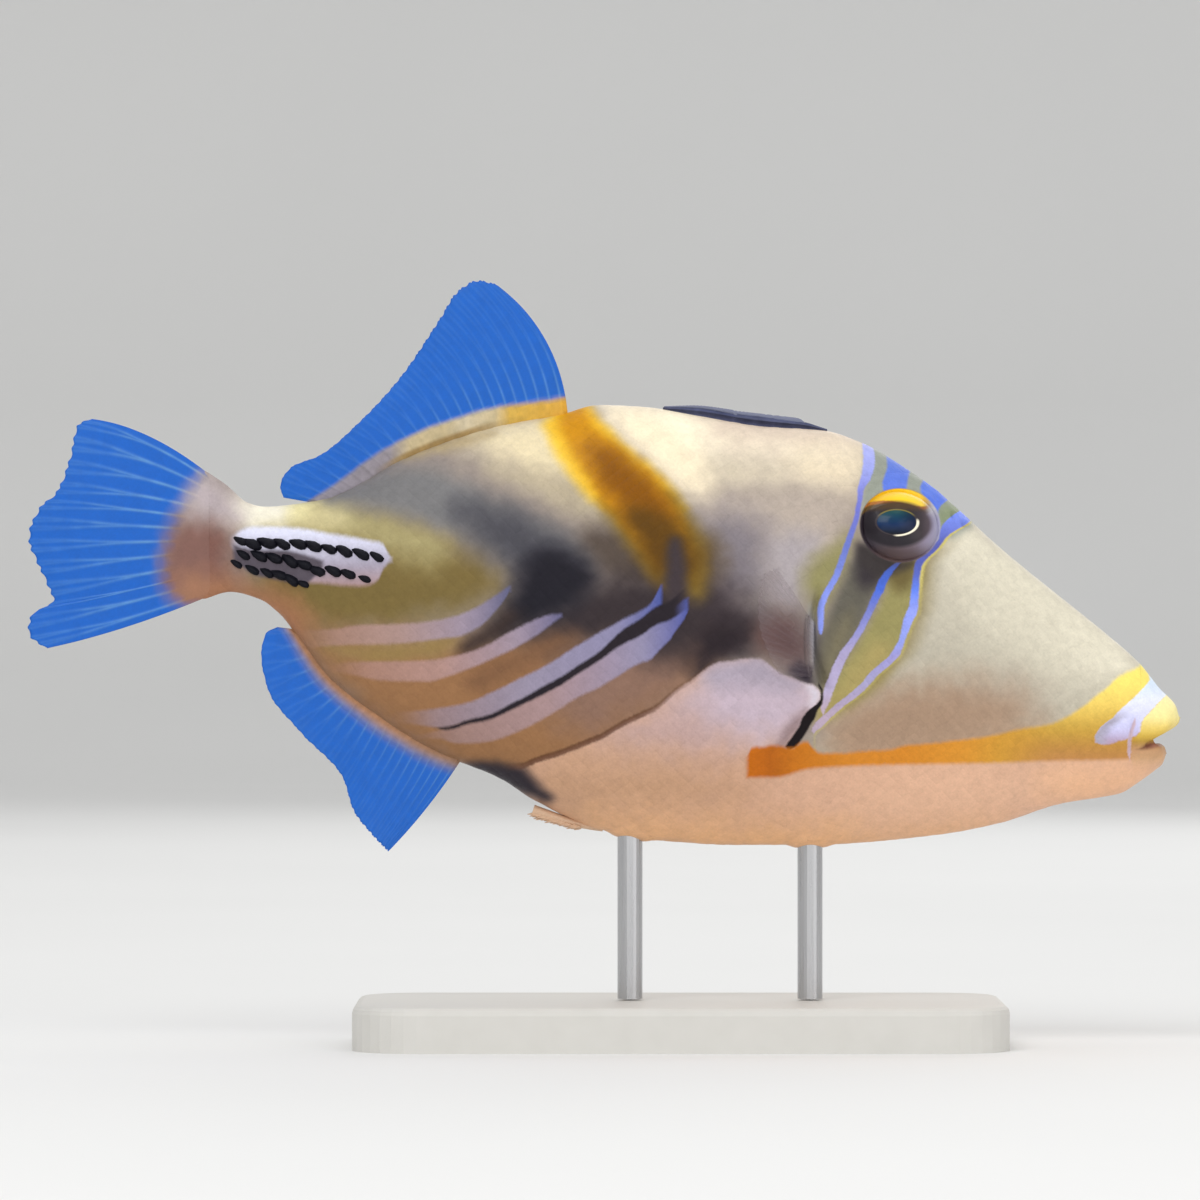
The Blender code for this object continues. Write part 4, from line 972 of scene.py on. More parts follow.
# The dark wedge below the gill, as (py, px)
WEDGE = (
    (683, 816), (690, 819.8), (694, 819.8), (702, 818), (708, 812), (713, 808.5), (718, 806),
    (727, 801.7), (736, 795.6), (746, 788.8), (752, 785),
)
WEDGE_REACH = (
    (678, -3), (683, 1), (694, 1.3), (702, 2.4), (708, 4.2), (713, 5.7), (718, 6.2), (727, 5.2),
    (736, 5.7), (746, 5.8), (751, -3),
)
ORANGE_TOP = (
    (745, 758), (748, 752), (752, 745), (760, 746), (770, 744), (780, 745), (790, 747), (795, 744),
    (800, 741), (805, 740), (810, 746), (820, 752), (840, 752), (860, 750), (890, 748), (900, 745),
    (920, 743), (940, 741), (987, 735), (1019, 728), (1051, 722), (1083, 704), (1095, 694),
    (1105, 687), (1115, 677), (1125, 672), (1137, 667), (1150, 655),
)
ORANGE_BOTTOM = (
    (745, 776), (773, 776), (805, 768), (843, 765), (923, 763), (987, 762), (1051, 760),
    (1114, 759), (1150, 757),
)
ORANGE_REAR = (
    (750, (196, 106, 20)), (770, (184, 100, 24)), (800, (200, 118, 30)), (840, (212, 134, 44)),
    (900, (214, 137, 44)), (960, (218, 148, 52)), (1000, (208, 153, 58)),
)
ORANGE_FRONT = (
    (680, (254, 232, 118)), (700, (246, 214, 108)), (715, (224, 187, 88)), (730, (202, 160, 68)),
    (745, (194, 143, 70)), (758, (194, 138, 80)),
)
PEDUNCLE_TOP = (
    (232, 537), (240, 531), (260, 527), (290, 528), (310, 530), (330, 534), (350, 537), (370, 541),
    (385, 545), (390, 555), (393, 560),
)
PEDUNCLE_BOTTOM = (
    (230, 545), (240, 556), (258, 566), (285, 578), (300, 583), (320, 583), (340, 585), (360, 586),
    (375, 583), (383, 575), (385, 567), (393, 561),
)
PEDUNCLE_REACH = (229, 392)
PEDUNCLE_FADE = (228, 244)
PEDUNCLE_SHADES = (
    (527, (228, 230, 252)), (548, (208, 206, 226)), (565, (170, 162, 180)), (586, (172, 142, 142)),
)
THORN_FIELD_TOP = ((236, 545), (250, 549), (290, 551), (310, 556), (326, 562))
THORN_FIELD_BOTTOM = ((236, 560), (250, 572), (280, 580), (306, 584), (316, 576), (326, 564))
THORN_FIELD_REACH = (234, 324)
THORN_FIELD_SHADE = (90, 82, 92)

# How the stripes and lines change along their way
STRIPE_FADE = 50
STRIPE_TIP = 45
BLACK_STOP = (672, 690)
BLACK_SHADE = (38, 31, 38)
CROWN_TOP = 440
CROWN_PLACES = (455, 500)
CROWN_SHADES = (((100, 128, 214), (96, 124, 228)), ((96, 132, 218), (92, 122, 226)))
FIRST_SHADES = (
    (455, (170, 176, 238)), (475, (156, 164, 234)), (490, (132, 137, 216)), (510, (110, 115, 202)),
    (550, (108, 122, 200)), (600, (140, 155, 240)),
)
SECOND_SHADES = (
    (562, (78, 80, 122)), (570, (70, 98, 190)), (590, (75, 108, 216)), (610, (122, 130, 204)),
    (630, (146, 146, 206)), (650, (172, 162, 202)), (690, (186, 174, 206)), (705, (190, 170, 190)),
)
THIRD_SHADES = (
    (515, (130, 152, 246)), (530, (112, 126, 216)), (545, (92, 98, 176)), (575, (90, 104, 192)),
    (590, (102, 134, 240)), (610, (150, 163, 246)), (640, (150, 163, 240)), (655, (160, 155, 214)),
    (680, (165, 160, 200)), (700, (175, 160, 190)), (715, (185, 165, 185)),
)
# The bright edge in front of the third line, and the glow beyond it
BRIGHT_WIDTH = 3.4
BRIGHT_START = (518, 526)
BRIGHT_FADE = (572, 606)
BRIGHT_SHADE = (206, 191, 112)
GLOW_START = (530, 560)
GLOW_STOP = (735, 690)
GLOW_SHADE = (146, 130, 78)
# Where the pale belly begins, and the dark edge over it
BELLY_START = (505, 540)
EDGE_SHADE = (96, 60, 42)
EDGE_STRENGTH = (
    (505, (0, 0, 0)), (530, (238, 238, 238)), (640, (232, 232, 232)), (690, (140, 140, 140)),
    (718, (0, 0, 0)),
)
WEDGE_SHADE = (22, 14, 18)
ORANGE_REACH = (746, 1175)
ORANGE_TURN = (990, 1060)


def fish_colour(paint):
    """The markings of the skin over its soft colours."""
    px, py = paint.px, paint.py
    skin = paint.attribute("upper")

    white = paint.band(PEDUNCLE_TOP, PEDUNCLE_BOTTOM, *PEDUNCLE_REACH, soft=1.4)
    white = paint.both(white, paint.fade(px, PEDUNCLE_FADE))
    skin = paint.mix(white, skin, paint.ramp(py, PEDUNCLE_SHADES))
    field = paint.band(THORN_FIELD_TOP, THORN_FIELD_BOTTOM, *THORN_FIELD_REACH, soft=1.2)
    skin = paint.mix(field, skin, THORN_FIELD_SHADE)

    for (top, bottom, start, end), shades in zip(STRIPES, STRIPE_COLOURS):
        cover = paint.band(top, bottom, start, end, soft=1.0)
        faded = paint.fade(px, (start, start + STRIPE_FADE), 0.05, 0.95)
        places = (start, (start + end) / 2, end - STRIPE_TIP, end)
        shade = paint.ramp(px, tuple(zip(places, shades)))
        skin = paint.mix(paint.both(cover, faded), skin, shade)
    cover = paint.stroke(BLACK_LINE, BLACK_REACH, upright=False, soft=0.9)
    skin = paint.mix(paint.both(cover, paint.fade(px, BLACK_STOP, 1.0, 0.0)), skin, BLACK_SHADE)

    for (rear, front, low), shades in zip(CROWN_BANDS, CROWN_SHADES):
        cover = paint.band(rear, front, CROWN_TOP, low, soft=0.7, upright=True)
        skin = paint.mix(cover, skin, paint.ramp(py, tuple(zip(CROWN_PLACES, shades))))
    skin = blue_line(paint, skin, FIRST_LINE, FIRST_REACH, FIRST_SHADES)
    skin = blue_line(paint, skin, SECOND_LINE, SECOND_REACH, SECOND_SHADES)
    apart = paint.math("SUBTRACT", px, paint.curve(py, THIRD_LINE))
    reach = paint.math("ADD", paint.curve(py, THIRD_REACH), BRIGHT_WIDTH / FRAME_POINTS)
    depth = paint.math("MINIMUM", paint.math("SUBTRACT", reach, apart), apart)
    bright = paint.both(paint.within(depth, 0.8), paint.fade(py, BRIGHT_START))
    bright = paint.both(bright, paint.fade(py, BRIGHT_FADE, 1.0, 0.35))
    glow = paint.rise(paint.math("MULTIPLY", apart, FRAME_MM), 0.6, 6.0, 0.75, 0.0)
    glow = paint.both(glow, paint.fade(apart, (0, 2)))
    lower = paint.both(paint.fade(py, GLOW_START), paint.fade(py, GLOW_STOP))
    skin = paint.mix(paint.both(glow, lower), skin, GLOW_SHADE)
    skin = paint.mix(bright, skin, BRIGHT_SHADE)
    skin = blue_line(paint, skin, THIRD_LINE, THIRD_REACH, THIRD_SHADES)
    skin = eye_ring(paint, skin)

    depth = paint.math("SUBTRACT", py, paint.curve(px, PATCH_TOP))
    behind_wedge = paint.math("SUBTRACT", paint.curve(py, WEDGE), px)
    patch = paint.both(paint.within(depth, 0.9), paint.within(behind_wedge, 0.6))
    belly = paint.past(py, px, BELLY_TOP, 0.9)
    below = paint.both(paint.math("MAXIMUM", patch, belly), paint.fade(px, BELLY_START))
    skin = paint.mix(below, skin, paint.attribute("lower"))
    edge = paint.math("MULTIPLY", paint.math("ABSOLUTE", depth), FRAME_MM)
    edge = paint.rise(paint.math("ADD", edge, paint.rag), 0.3, 0.95, 1.0, 0.0)
    skin = paint.mix(paint.both(edge, paint.ramp(px, EDGE_STRENGTH)), skin, EDGE_SHADE)

    skin = paint.mix(paint.stroke(WEDGE, WEDGE_REACH, soft=0.6), skin, WEDGE_SHADE)
    cover = paint.band(ORANGE_TOP, ORANGE_BOTTOM, *ORANGE_REACH, soft=1.2)
    forward = paint.fade(px, ORANGE_TURN)
    shade = paint.mix(forward, paint.ramp(px, ORANGE_REAR), paint.ramp(py, ORANGE_FRONT))
    skin = paint.mix(cover, skin, shade)
    return lips(paint, skin)


def blue_line(paint, skin, line, reach, shades):
    """One of the lines from the eye down to the gill, laid over the skin."""
    return paint.mix(paint.stroke(line, reach), skin, paint.ramp(paint.py, shades))


# The lavender band before the lips, as (py, px): its rear and its front edge, and its lower edge
BAND_REAR = (
    (680, 1149), (686, 1143), (691, 1138), (697, 1132), (702, 1126), (707, 1120), (713, 1114),
    (718, 1110), (722, 1104), (727, 1098), (732, 1095), (738, 1092), (742, 1094),
)
BAND_FRONT = (
    (680, 1172), (690, 1170), (697, 1163), (702, 1157), (708, 1151), (714, 1145), (718, 1141),
    (722, 1139), (727, 1138), (732, 1137), (735, 1134), (738, 1131),
)
BAND_BOTTOM = ((1090, 740), (1094, 742), (1105, 744), (1115, 741), (1125, 738), (1134, 735))
LIP_REAR = (*BAND_FRONT, (754, 1129), (770, 1133), (790, 1140))
LIP_CREASE_LINE = (
    (718, 1133), (725, 1131), (733, 1128.5), (742, 1127), (752, 1127), (762, 1128),
)
LIP_CREASE_REACH = ((712, -3), (720, 1.2), (733, 2), (752, 1.8), (768, -3))
MOUTH_LINE = ((1136, 749), (1146, 745.5), (1160, 743), (1172, 738), (1190, 733))
MOUTH_REACH = ((1130, -3), (1140, 1.2), (1148, 3), (1158, 3.2), (1168, 1.8), (1190, 1.2))
LIP_STOP = (775, 752)
# The upper lip's yellow, with a painted highlight on top, darker towards the mouth
LIP_COLOURS_WITH_HIGHLIGHT = (
    (697, (255, 243, 178)), (716, (255, 240, 164)), (728, (236, 206, 108)), (736, (212, 176, 76)),
    (742, (178, 138, 62)), (748, (198, 152, 112)), (760, (212, 170, 130)), (776, (226, 180, 142)),
)
BAND_SHADES = (
    (682, (220, 236, 255)), (700, (235, 238, 255)), (712, (224, 225, 255)), (728, (210, 208, 246)),
    (738, (192, 176, 208)), (744, (188, 154, 172)),
)
BAND_EDGE_START = (706, 722)
BAND_EDGE_SHADE = (172, 166, 184)
LIP_CREASE_SHADE = (206, 182, 194)
MOUTH_SHADES = ((1142, (116, 72, 56)), (1152, (150, 102, 84)), (1164, (166, 118, 92)))


def lips(paint, skin):
    """The lavender band and the yellow lips at the tip of the snout."""
    px, py = paint.px, paint.py
    ahead = paint.both(paint.past(px, py, LIP_REAR, 0.6), paint.fade(py, LIP_STOP))
    skin = paint.mix(ahead, skin, paint.ramp(py, LIP_COLOURS_WITH_HIGHLIGHT))
    after_rear = paint.math("SUBTRACT", px, paint.curve(py, BAND_REAR))
    before_front = paint.math("SUBTRACT", paint.curve(py, BAND_FRONT), px)
    depth = paint.math("MINIMUM", after_rear, before_front)
    below = paint.math("SUBTRACT", paint.curve(px, BAND_BOTTOM), py)
    cover = paint.within(paint.math("MINIMUM", depth, below), 0.6)
    skin = paint.mix(cover, skin, paint.ramp(py, BAND_SHADES))
    edge = paint.rise(paint.math("MULTIPLY", after_rear, FRAME_MM), 0.4, 3.4, 1.0, 0.0)
    edge = paint.both(edge, paint.fade(py, BAND_EDGE_START))
    skin = paint.mix(paint.both(cover, edge), skin, BAND_EDGE_SHADE)
    line = paint.stroke(LIP_CREASE_LINE, LIP_CREASE_REACH, soft=0.5)
    skin = paint.mix(line, skin, LIP_CREASE_SHADE)
    mouth = paint.stroke(MOUTH_LINE, MOUTH_REACH, upright=False, soft=1.0)
    return paint.mix(mouth, skin, paint.ramp(px, MOUTH_SHADES))


def oval(paint, middle, radii):
    """How far a place lies from the middle of an oval, where 1 is its edge."""
    across = paint.math("SUBTRACT", paint.px, middle[0] / FRAME_POINTS)
    down = paint.math("SUBTRACT", paint.py, middle[1] / FRAME_POINTS)
    across = paint.math("MULTIPLY", across, FRAME_POINTS / radii[0])
    down = paint.math("MULTIPLY", down, FRAME_POINTS / radii[1])
    return paint.math("SQRT", paint.math("ADD", paint.both(across, across), paint.both(down, down)))


# The eye: its ring, iris and pupil as ovals, and the edge of the lid over it
RING_PX = (898.0, 526.0)
RING_RADII = (40.4, 36.6)
IRIS_PX = (894.5, 525.0)
IRIS_RADII = (35.4, 22.6)
PUPIL_PX = (894.0, 523.0)
PUPIL_RADII = (19.6, 12.0)
LID_LINE = (
    (856, 512), (858, 509), (867, 503), (884, 501.5), (900, 503.5), (912, 506.5), (920, 507),
    (928, 505), (934, 498),
)
# The ring's own lilac and grey, painted darker behind and below as shade, and lighter at the upper front
# as a highlight
RING_SHADES = (
    (857, (40, 32, 40)), (872, (56, 48, 56)), (892, (80, 66, 70)), (912, (108, 94, 104)),
    (924, (146, 136, 158)), (938, (166, 164, 192)),
)
RING_LOW = (542, 562)
RING_LOW_PAINTED_SHADE = (84, 66, 64)
RING_HIGH = (520, 506)
RING_FRONT = (916, 926)
RING_FRONT_HIGHLIGHT = (188, 186, 192)
LID_FRONT = (932, 918)
LID_EDGE_SHADE = (96, 72, 34)
LID_RIM_SHADE = (174, 108, 44)
LID_SHADES = (
    (860, (188, 142, 30)), (878, (240, 190, 28)), (900, (255, 212, 38)), (918, (252, 212, 66)),
    (932, (216, 194, 116)),
)
BALL_SHADE = (90, 78, 88)
IRIS_SHADES = (
    (858, (28, 22, 28)), (880, (34, 28, 36)), (905, (40, 36, 42)), (918, (60, 52, 56)),
    (928, (88, 76, 84)),
)
IRIS_TOP = (514, 507)
IRIS_TOP_SHADE = (92, 68, 34)
RIM_TURN = (0.75, 0.66)
RIM_TOP = (518, 513)
RIM_SHADE = (58, 50, 54)
RIM_TOP_SHADE = (122, 112, 56)
RIM_LIT_SHADE = (255, 246, 222)
PUPIL_SHADES = ((511, (26, 76, 70)), (517, (6, 58, 84)), (525, (2, 40, 84)), (535, (2, 8, 18)))
PUPIL_FRONT = (894, 912)
PUPIL_FRONT_SHADE = (2, 10, 46)


def eye_ring(paint, skin):
    """The soft ring round the iris: yellow on top, lilac in front with a painted highlight, and painted
    shade behind and below.
    """
    px, py = paint.px, paint.py
    ring = paint.rise(oval(paint, RING_PX, RING_RADII), 0.975, 1.03, 1.0, 0.0)
    skin = paint.mix(ring, skin, paint.ramp(px, RING_SHADES))
    skin = paint.mix(paint.both(ring, paint.fade(py, RING_LOW, 0.0, 0.8)), skin, RING_LOW_PAINTED_SHADE)
    high = paint.both(paint.fade(py, RING_HIGH), paint.fade(px, RING_FRONT))
    skin = paint.mix(paint.both(ring, high), skin, RING_FRONT_HIGHLIGHT)
    above = paint.math("SUBTRACT", paint.curve(px, LID_LINE), py)
    above = paint.math("MULTIPLY_ADD", above, FRAME_MM, paint.math("MULTIPLY", paint.rag, 0.5))
    within = paint.both(ring, paint.fade(px, LID_FRONT))
    lid_shades = (LID_EDGE_SHADE, LID_RIM_SHADE, paint.ramp(px, LID_SHADES))
    for (low, high), shade in zip(((-1.9, -1.3), (-0.9, -0.4), (-0.2, 0.2)), lid_shades):
        skin = paint.mix(paint.both(within, paint.rise(above, low, high)), skin, shade)
    return skin


def eye_colour(paint):
    """The ball: its ring, the charcoal iris and the blue pupil with its thin bright rim."""
    px, py = paint.px, paint.py
    shade = eye_ring(paint, BALL_SHADE)
    iris = paint.rise(oval(paint, IRIS_PX, IRIS_RADII), 0.88, 1.12, 1.0, 0.0)
    shade = paint.mix(iris, shade, paint.ramp(px, IRIS_SHADES))
    warm = paint.both(iris, paint.fade(py, IRIS_TOP, 0.0, 0.6))
    shade = paint.mix(warm, shade, IRIS_TOP_SHADE)
    pupil = oval(paint, PUPIL_PX, PUPIL_RADII)
    ahead = paint.math("SUBTRACT", px, PUPIL_PX[0] / FRAME_POINTS)
    turned = paint.both(ahead, RIM_TURN[0] / PUPIL_RADII[0])
    down = paint.math("SUBTRACT", py, PUPIL_PX[1] / FRAME_POINTS)
    turned = paint.math("MULTIPLY_ADD", down, RIM_TURN[1] / PUPIL_RADII[1], turned)
    lit = paint.rise(paint.math("MULTIPLY", turned, FRAME_POINTS), 0.5, 0.8)
    thick = paint.math("MULTIPLY_ADD", lit, 0.05, 1.06)
    outer = paint.math("SUBTRACT", pupil, thick)
    rim = paint.both(paint.rise(pupil, 0.98, 1.03), paint.rise(outer, 0.0, 0.08, 1.0, 0.0))
    tint = paint.mix(paint.fade(py, RIM_TOP), RIM_SHADE, RIM_TOP_SHADE)
    shade = paint.mix(rim, shade, paint.mix(lit, tint, RIM_LIT_SHADE))
    front = paint.fade(px, PUPIL_FRONT, 0.0, 0.75)
    deep = paint.mix(front, paint.ramp(py, PUPIL_SHADES), PUPIL_FRONT_SHADE)
    return paint.mix(paint.rise(pupil, 0.96, 1.03, 1.0, 0.0), shade, deep)


def finish_skin(paint, skin, roughness=(0.36, 0.5)):
    """Fine mottling, the tone of each plate and a wet sheen over the colours."""
    place = paint.place
    mottle = paint.math("ADD", paint.noise(place, 760.0, 3.0), paint.grain)
    tone = paint.math("MULTIPLY_ADD", mottle, 0.22, 0.78)
    tone = paint.math("ADD", tone, paint.math("MULTIPLY", paint.attribute("tone", "Fac"), 0.03))
    grey = paint.add("ShaderNodeCombineColor", (tone, tone, tone))
    paint.set("Base Color", paint.times(skin, grey))
    paint.set("Roughness", paint.rise(paint.grain, 0.3, 0.7, *roughness))
    bump = {"Height": mottle, "Strength": 0.3, "Distance": 0.00012}
    paint.set("Normal", paint.add("ShaderNodeBump", bump))
    paint.set("Specular IOR Level", 0.12)
    paint.set("Coat Weight", 0.02)
    paint.set("Coat Roughness", 0.25)


skin_paint = SidePaint("fish_skin")
finish_skin(skin_paint, fish_colour(skin_paint))
skin_look = skin_paint.material

SKIN_RINGS = 372
SKIN_ANGLES = 121


def angle_density(angle):
    speed = np.linalg.norm(surface(40.0, angle + 0.003) - surface(40.0, angle - 0.003), axis=-1)
    return speed * (1 + 1.1 * bell(angle - 0.85, 0.36))


def ring_density(station):
    near = 1.1 * bell(station - EYE_AT[0], 10.5) + 0.9 * bell(station - 27.4, 3.5)
    return 1 + near + 2.2 * smooth(83, 86, station)


stations = spread(ring_density, TAIL_END, NOSE_END, SKIN_RINGS)
angles = spread(angle_density, 0.0, math.pi, SKIN_ANGLES)


def build_skin():
    """One closed skin over the whole body."""
    station, angle = np.meshgrid(stations, angles, indexing="ij")
    left, _ = skin_points(station, angle, 1)
    right, _ = skin_points(station, angle, -1)
    left[:, (0, -1), 1] = 0
    points = np.concatenate([left, right[:, -2:0:-1]], axis=1)
    ring = points.shape[1]
    last = (SKIN_RINGS - 1) * ring
    quads = grid_quads(SKIN_RINGS, ring, closed=True)
    k = np.arange(1, SKIN_ANGLES - 2)
    tail = np.stack([k, k + 1, ring - k - 1, ring - k], axis=-1)
    top = np.array((0, 1, ring - 1))
    low = np.array((SKIN_ANGLES - 2, SKIN_ANGLES - 1, SKIN_ANGLES))
    ends = np.array((top, low, last + top[::-1], last + low[::-1]))
    faces = [quads, tail, last + tail[:, ::-1], ends]
    share = angles / math.pi / 2
    v = np.concatenate([share, 1 - share[-2:0:-1]])
    u = (stations - TAIL_END) / (NOSE_END - TAIL_END)
    corners = np.concatenate([f.ravel() for f in faces])
    uv = np.stack([u[corners // ring], v[corners % ring]], axis=-1)
    # The quads that close the ring end at v = 1, where the next ones begin at 0
    wraps = np.zeros(len(corners), bool)
    wraps[: quads.size] = np.repeat(quads[:, 0] % ring == ring - 1, 4)
    uv[wraps & (corners % ring == 0), 1] = 1.0
    flat = points.reshape(-1, 3)
    tone = {"tone": np.zeros(len(flat))}
    piece = add_piece("skin", flat, faces, skin_look, uv, soft_colours(flat), tone)
    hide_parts("head", "jaw_upper", "jaw_lower", "torso", "tail_stalk")


build_skin()

eye_paint = SidePaint("eye_ball")
eye_paint.set("Base Color", eye_colour(eye_paint))
eye_paint.set("Roughness", 0.3)
eye_paint.set("Specular IOR Level", 0.2)
eye_paint.set("Coat Weight", 0.12)
eye_paint.set("Coat Roughness", 0.1)

EYE_AROUND = 120
EYE_RINGS = 90


def build_eye(side):
    """One eyeball, with a low lid line round the iris and a domed pupil."""
    x, z = EYE_AT
    out = side_normal(x, z)
    centre = np.array(Vector((x, float(side_y(x, z)), z)) - out * EYE_SUNK)
    forward = (Vector((1, 0, 0)) - out * out.x).normalized()
    up = np.array(out.cross(forward))
    up = up * math.copysign(1.0, up[2])
    out = np.array(out)
    forward = np.array(forward)
    turn = np.linspace(0, 2 * math.pi, EYE_AROUND, endpoint=False)
    lean = np.linspace(0, 0.97 * math.pi, EYE_RINGS + 1)[1:]
    lean, turn = np.meshgrid(lean, turn, indexing="ij")
    u = np.sin(lean) * np.cos(turn) * EYE_RADII[0]
    v = np.sin(lean) * np.sin(turn) * EYE_RADII[1]
    w = np.cos(lean) * EYE_RADII[2]
    points = centre + u[..., None] * forward + v[..., None] * up + w[..., None] * out
    px = points[..., 0] / POINT_MM + ORIGIN_PX[0]
    py = ORIGIN_PX[1] - points[..., 2] / POINT_MM
    iris = np.hypot((px - IRIS_PX[0]) / IRIS_RADII[0], (py - IRIS_PX[1]) / IRIS_RADII[1])
    pupil = np.hypot((px - PUPIL_PX[0]) / PUPIL_RADII[0], (py - PUPIL_PX[1]) / PUPIL_RADII[1])
    front = smooth(-0.5, 1.0, w)
    rise = 0.22 * bell(iris - 1.22, 0.16) - 0.3 * smooth(1.1, 0.94, iris)
    rise += 0.36 * smooth(1.35, 0.4, pupil)
    points = points + (rise * front)[..., None] * out
    tip = centre + out * EYE_RADII[2]
    flat = np.concatenate([[tip], points.reshape(-1, 3)]) * np.array([1, side, 1])
    k = np.arange(EYE_AROUND)
    cap = np.stack([np.zeros(EYE_AROUND, int), 1 + k, 1 + (k + 1) % EYE_AROUND], axis=-1)
    back = 1 + (EYE_RINGS - 1) * EYE_AROUND + k[None, ::-1]
    faces = [1 + grid_quads(EYE_RINGS, EYE_AROUND, closed=True), cap, back]
    if np.dot(np.cross(forward, up), out) * side < 0:
        faces = [f[:, ::-1] for f in faces]
    name = "eye_left" if side > 0 else "eye_right"
    piece = add_piece(name + "_ball", flat, faces, eye_paint.material)
    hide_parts(name)


build_eye(1)
build_eye(-1)


def fin_look(name, membrane, ray_colour, clear, ray_clear):
    """A slightly clear membrane, paler rays and an opaque fleshy base."""
    paint = SidePaint(name)
    ray = paint.attribute("ray", "Fac")
    cover = paint.attribute("cover", "Fac")
    shade = paint.mix(ray, membrane, ray_colour)
    shade = paint.mix(cover, shade, paint.attribute("flesh"))
    mottle = paint.math("ADD", paint.noise(paint.place, 420.0, 3.0), paint.grain)
    tone = paint.math("MULTIPLY_ADD", mottle, 0.22, 0.78)
    grey = paint.add("ShaderNodeCombineColor", (tone, tone, tone))
    paint.set("Base Color", paint.times(shade, grey))
    clear = paint.math("MULTIPLY_ADD", ray, ray_clear - clear, clear)
    paint.set("Alpha", paint.math("MAXIMUM", clear, cover))
    paint.set("Roughness", 0.45)
    paint.set("Specular IOR Level", 0.32)
    return paint.material


fin_material = fin_look("fin_membrane", (0, 98, 200), (100, 156, 212), 0.9, 0.93)
side_fin_material = fin_look("side_fin_membrane", (126, 110, 116), (160, 146, 152), 0.12, 0.24)


def unit(vectors):
    return vectors / np.maximum(np.linalg.norm(vectors, axis=-1, keepdims=True), 1e-12)


def ray_lines(u, v, rays, first_fork=0.38, second_fork=0.7):
    """1 on a ray and 0 between rays. Each ray forks twice on its way to the margin."""
    place = (u * rays) % 1.0 - 0.5
    part = 0.2 * smooth(first_fork, first_fork + 0.45, v)
    again = 0.085 * smooth(second_fork, 1.05, v)
    apart = np.abs(np.abs(np.abs(place) - part) - again)
    return bell(apart, 0.115 - 0.055 * v)


def fin_piece(name, node, centre, across, half, rays, flesh, cover, faintness):
    """A thin closed fin from its middle surface, its thickness and its rays."""
    columns, rows = centre.shape[:2]
    front = centre + across * half[..., None]
    back = centre - across * half[..., None]
    faces = sheet_faces(columns, rows)
    i, j = columns // 2, rows // 2
    along_root = centre[i + 1, j] - centre[i, j]
    along_ray = centre[i, j + 1] - centre[i, j]
    if np.dot(np.cross(along_root, along_ray), across[i, j]) < 0:
        faces = [f[:, ::-1] for f in faces]
    numbers = {"ray": np.tile((rays * faintness).ravel(), 2), "cover": np.tile(cover.ravel(), 2)}
    colours = {"flesh": np.tile(flesh.reshape(-1, 3), (2, 1))}
    look = side_fin_material if name.startswith("pectoral") else fin_material
    piece = add_piece(name, np.stack([front, back]), faces, look, colours=colours, numbers=numbers)
    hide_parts(node)


def blend(stops, value):
    """Colours of 0 to 255 along a value, as linear light."""
    at = [s[0] for s in stops]
    shades = linear([s[1] for s in stops])
    return np.stack([np.interp(value, at, shades[:, k]) for k in range(3)], axis=-1)


def fin_grid(columns, rows, crowding=1.0):
    """The two shares of a fin: u from its first ray to its last, and v from its root to its margin."""
    return np.meshgrid(np.linspace(0, 1, columns), np.linspace(0, 1, rows) ** crowding, indexing="ij")


def scalloped(u, v, rays, depth, middle, spread_out):
    """How the margin draws back between the rays, as a share of their length."""
    place = (u * rays) % 1.0 - 0.5
    return 1 - depth * smooth(0.7, 1, v) * (1 - bell(np.abs(place) - middle, spread_out))


def tapered(half, u, v, ends):
    """Half of a fin's thickness, thinner at its first and last ray and at its margin."""
    rim = 0.5 + 0.5 * smooth(0, ends, u) * smooth(1, 1 - ends, u)
    return half * rim * (1 - 0.5 * v**4)


FIN_ROWS = 46
FIN_SUNK = 1.0
SHEATH_FOOT = (152, 124, 74)
SHEATH_FOOT_START = (-62, -54)
SHEATH_FOOT_END = (-30, -44)
SHEATH = (
    (-74, (134, 128, 140)), (-58, (142, 134, 140)), (-54, (190, 172, 134)), (-47, (192, 174, 134)),
    (-43, (198, 184, 154)), (-37, (198, 180, 140)), (-34, (208, 168, 70)), (-22, (214, 162, 50)),
)
ANAL_SHEATH = ((-77, (160, 116, 84)), (-60, (176, 128, 92)), (-43, (150, 116, 92)))
ANAL_SHEATH_EDGE = (140, 138, 164)


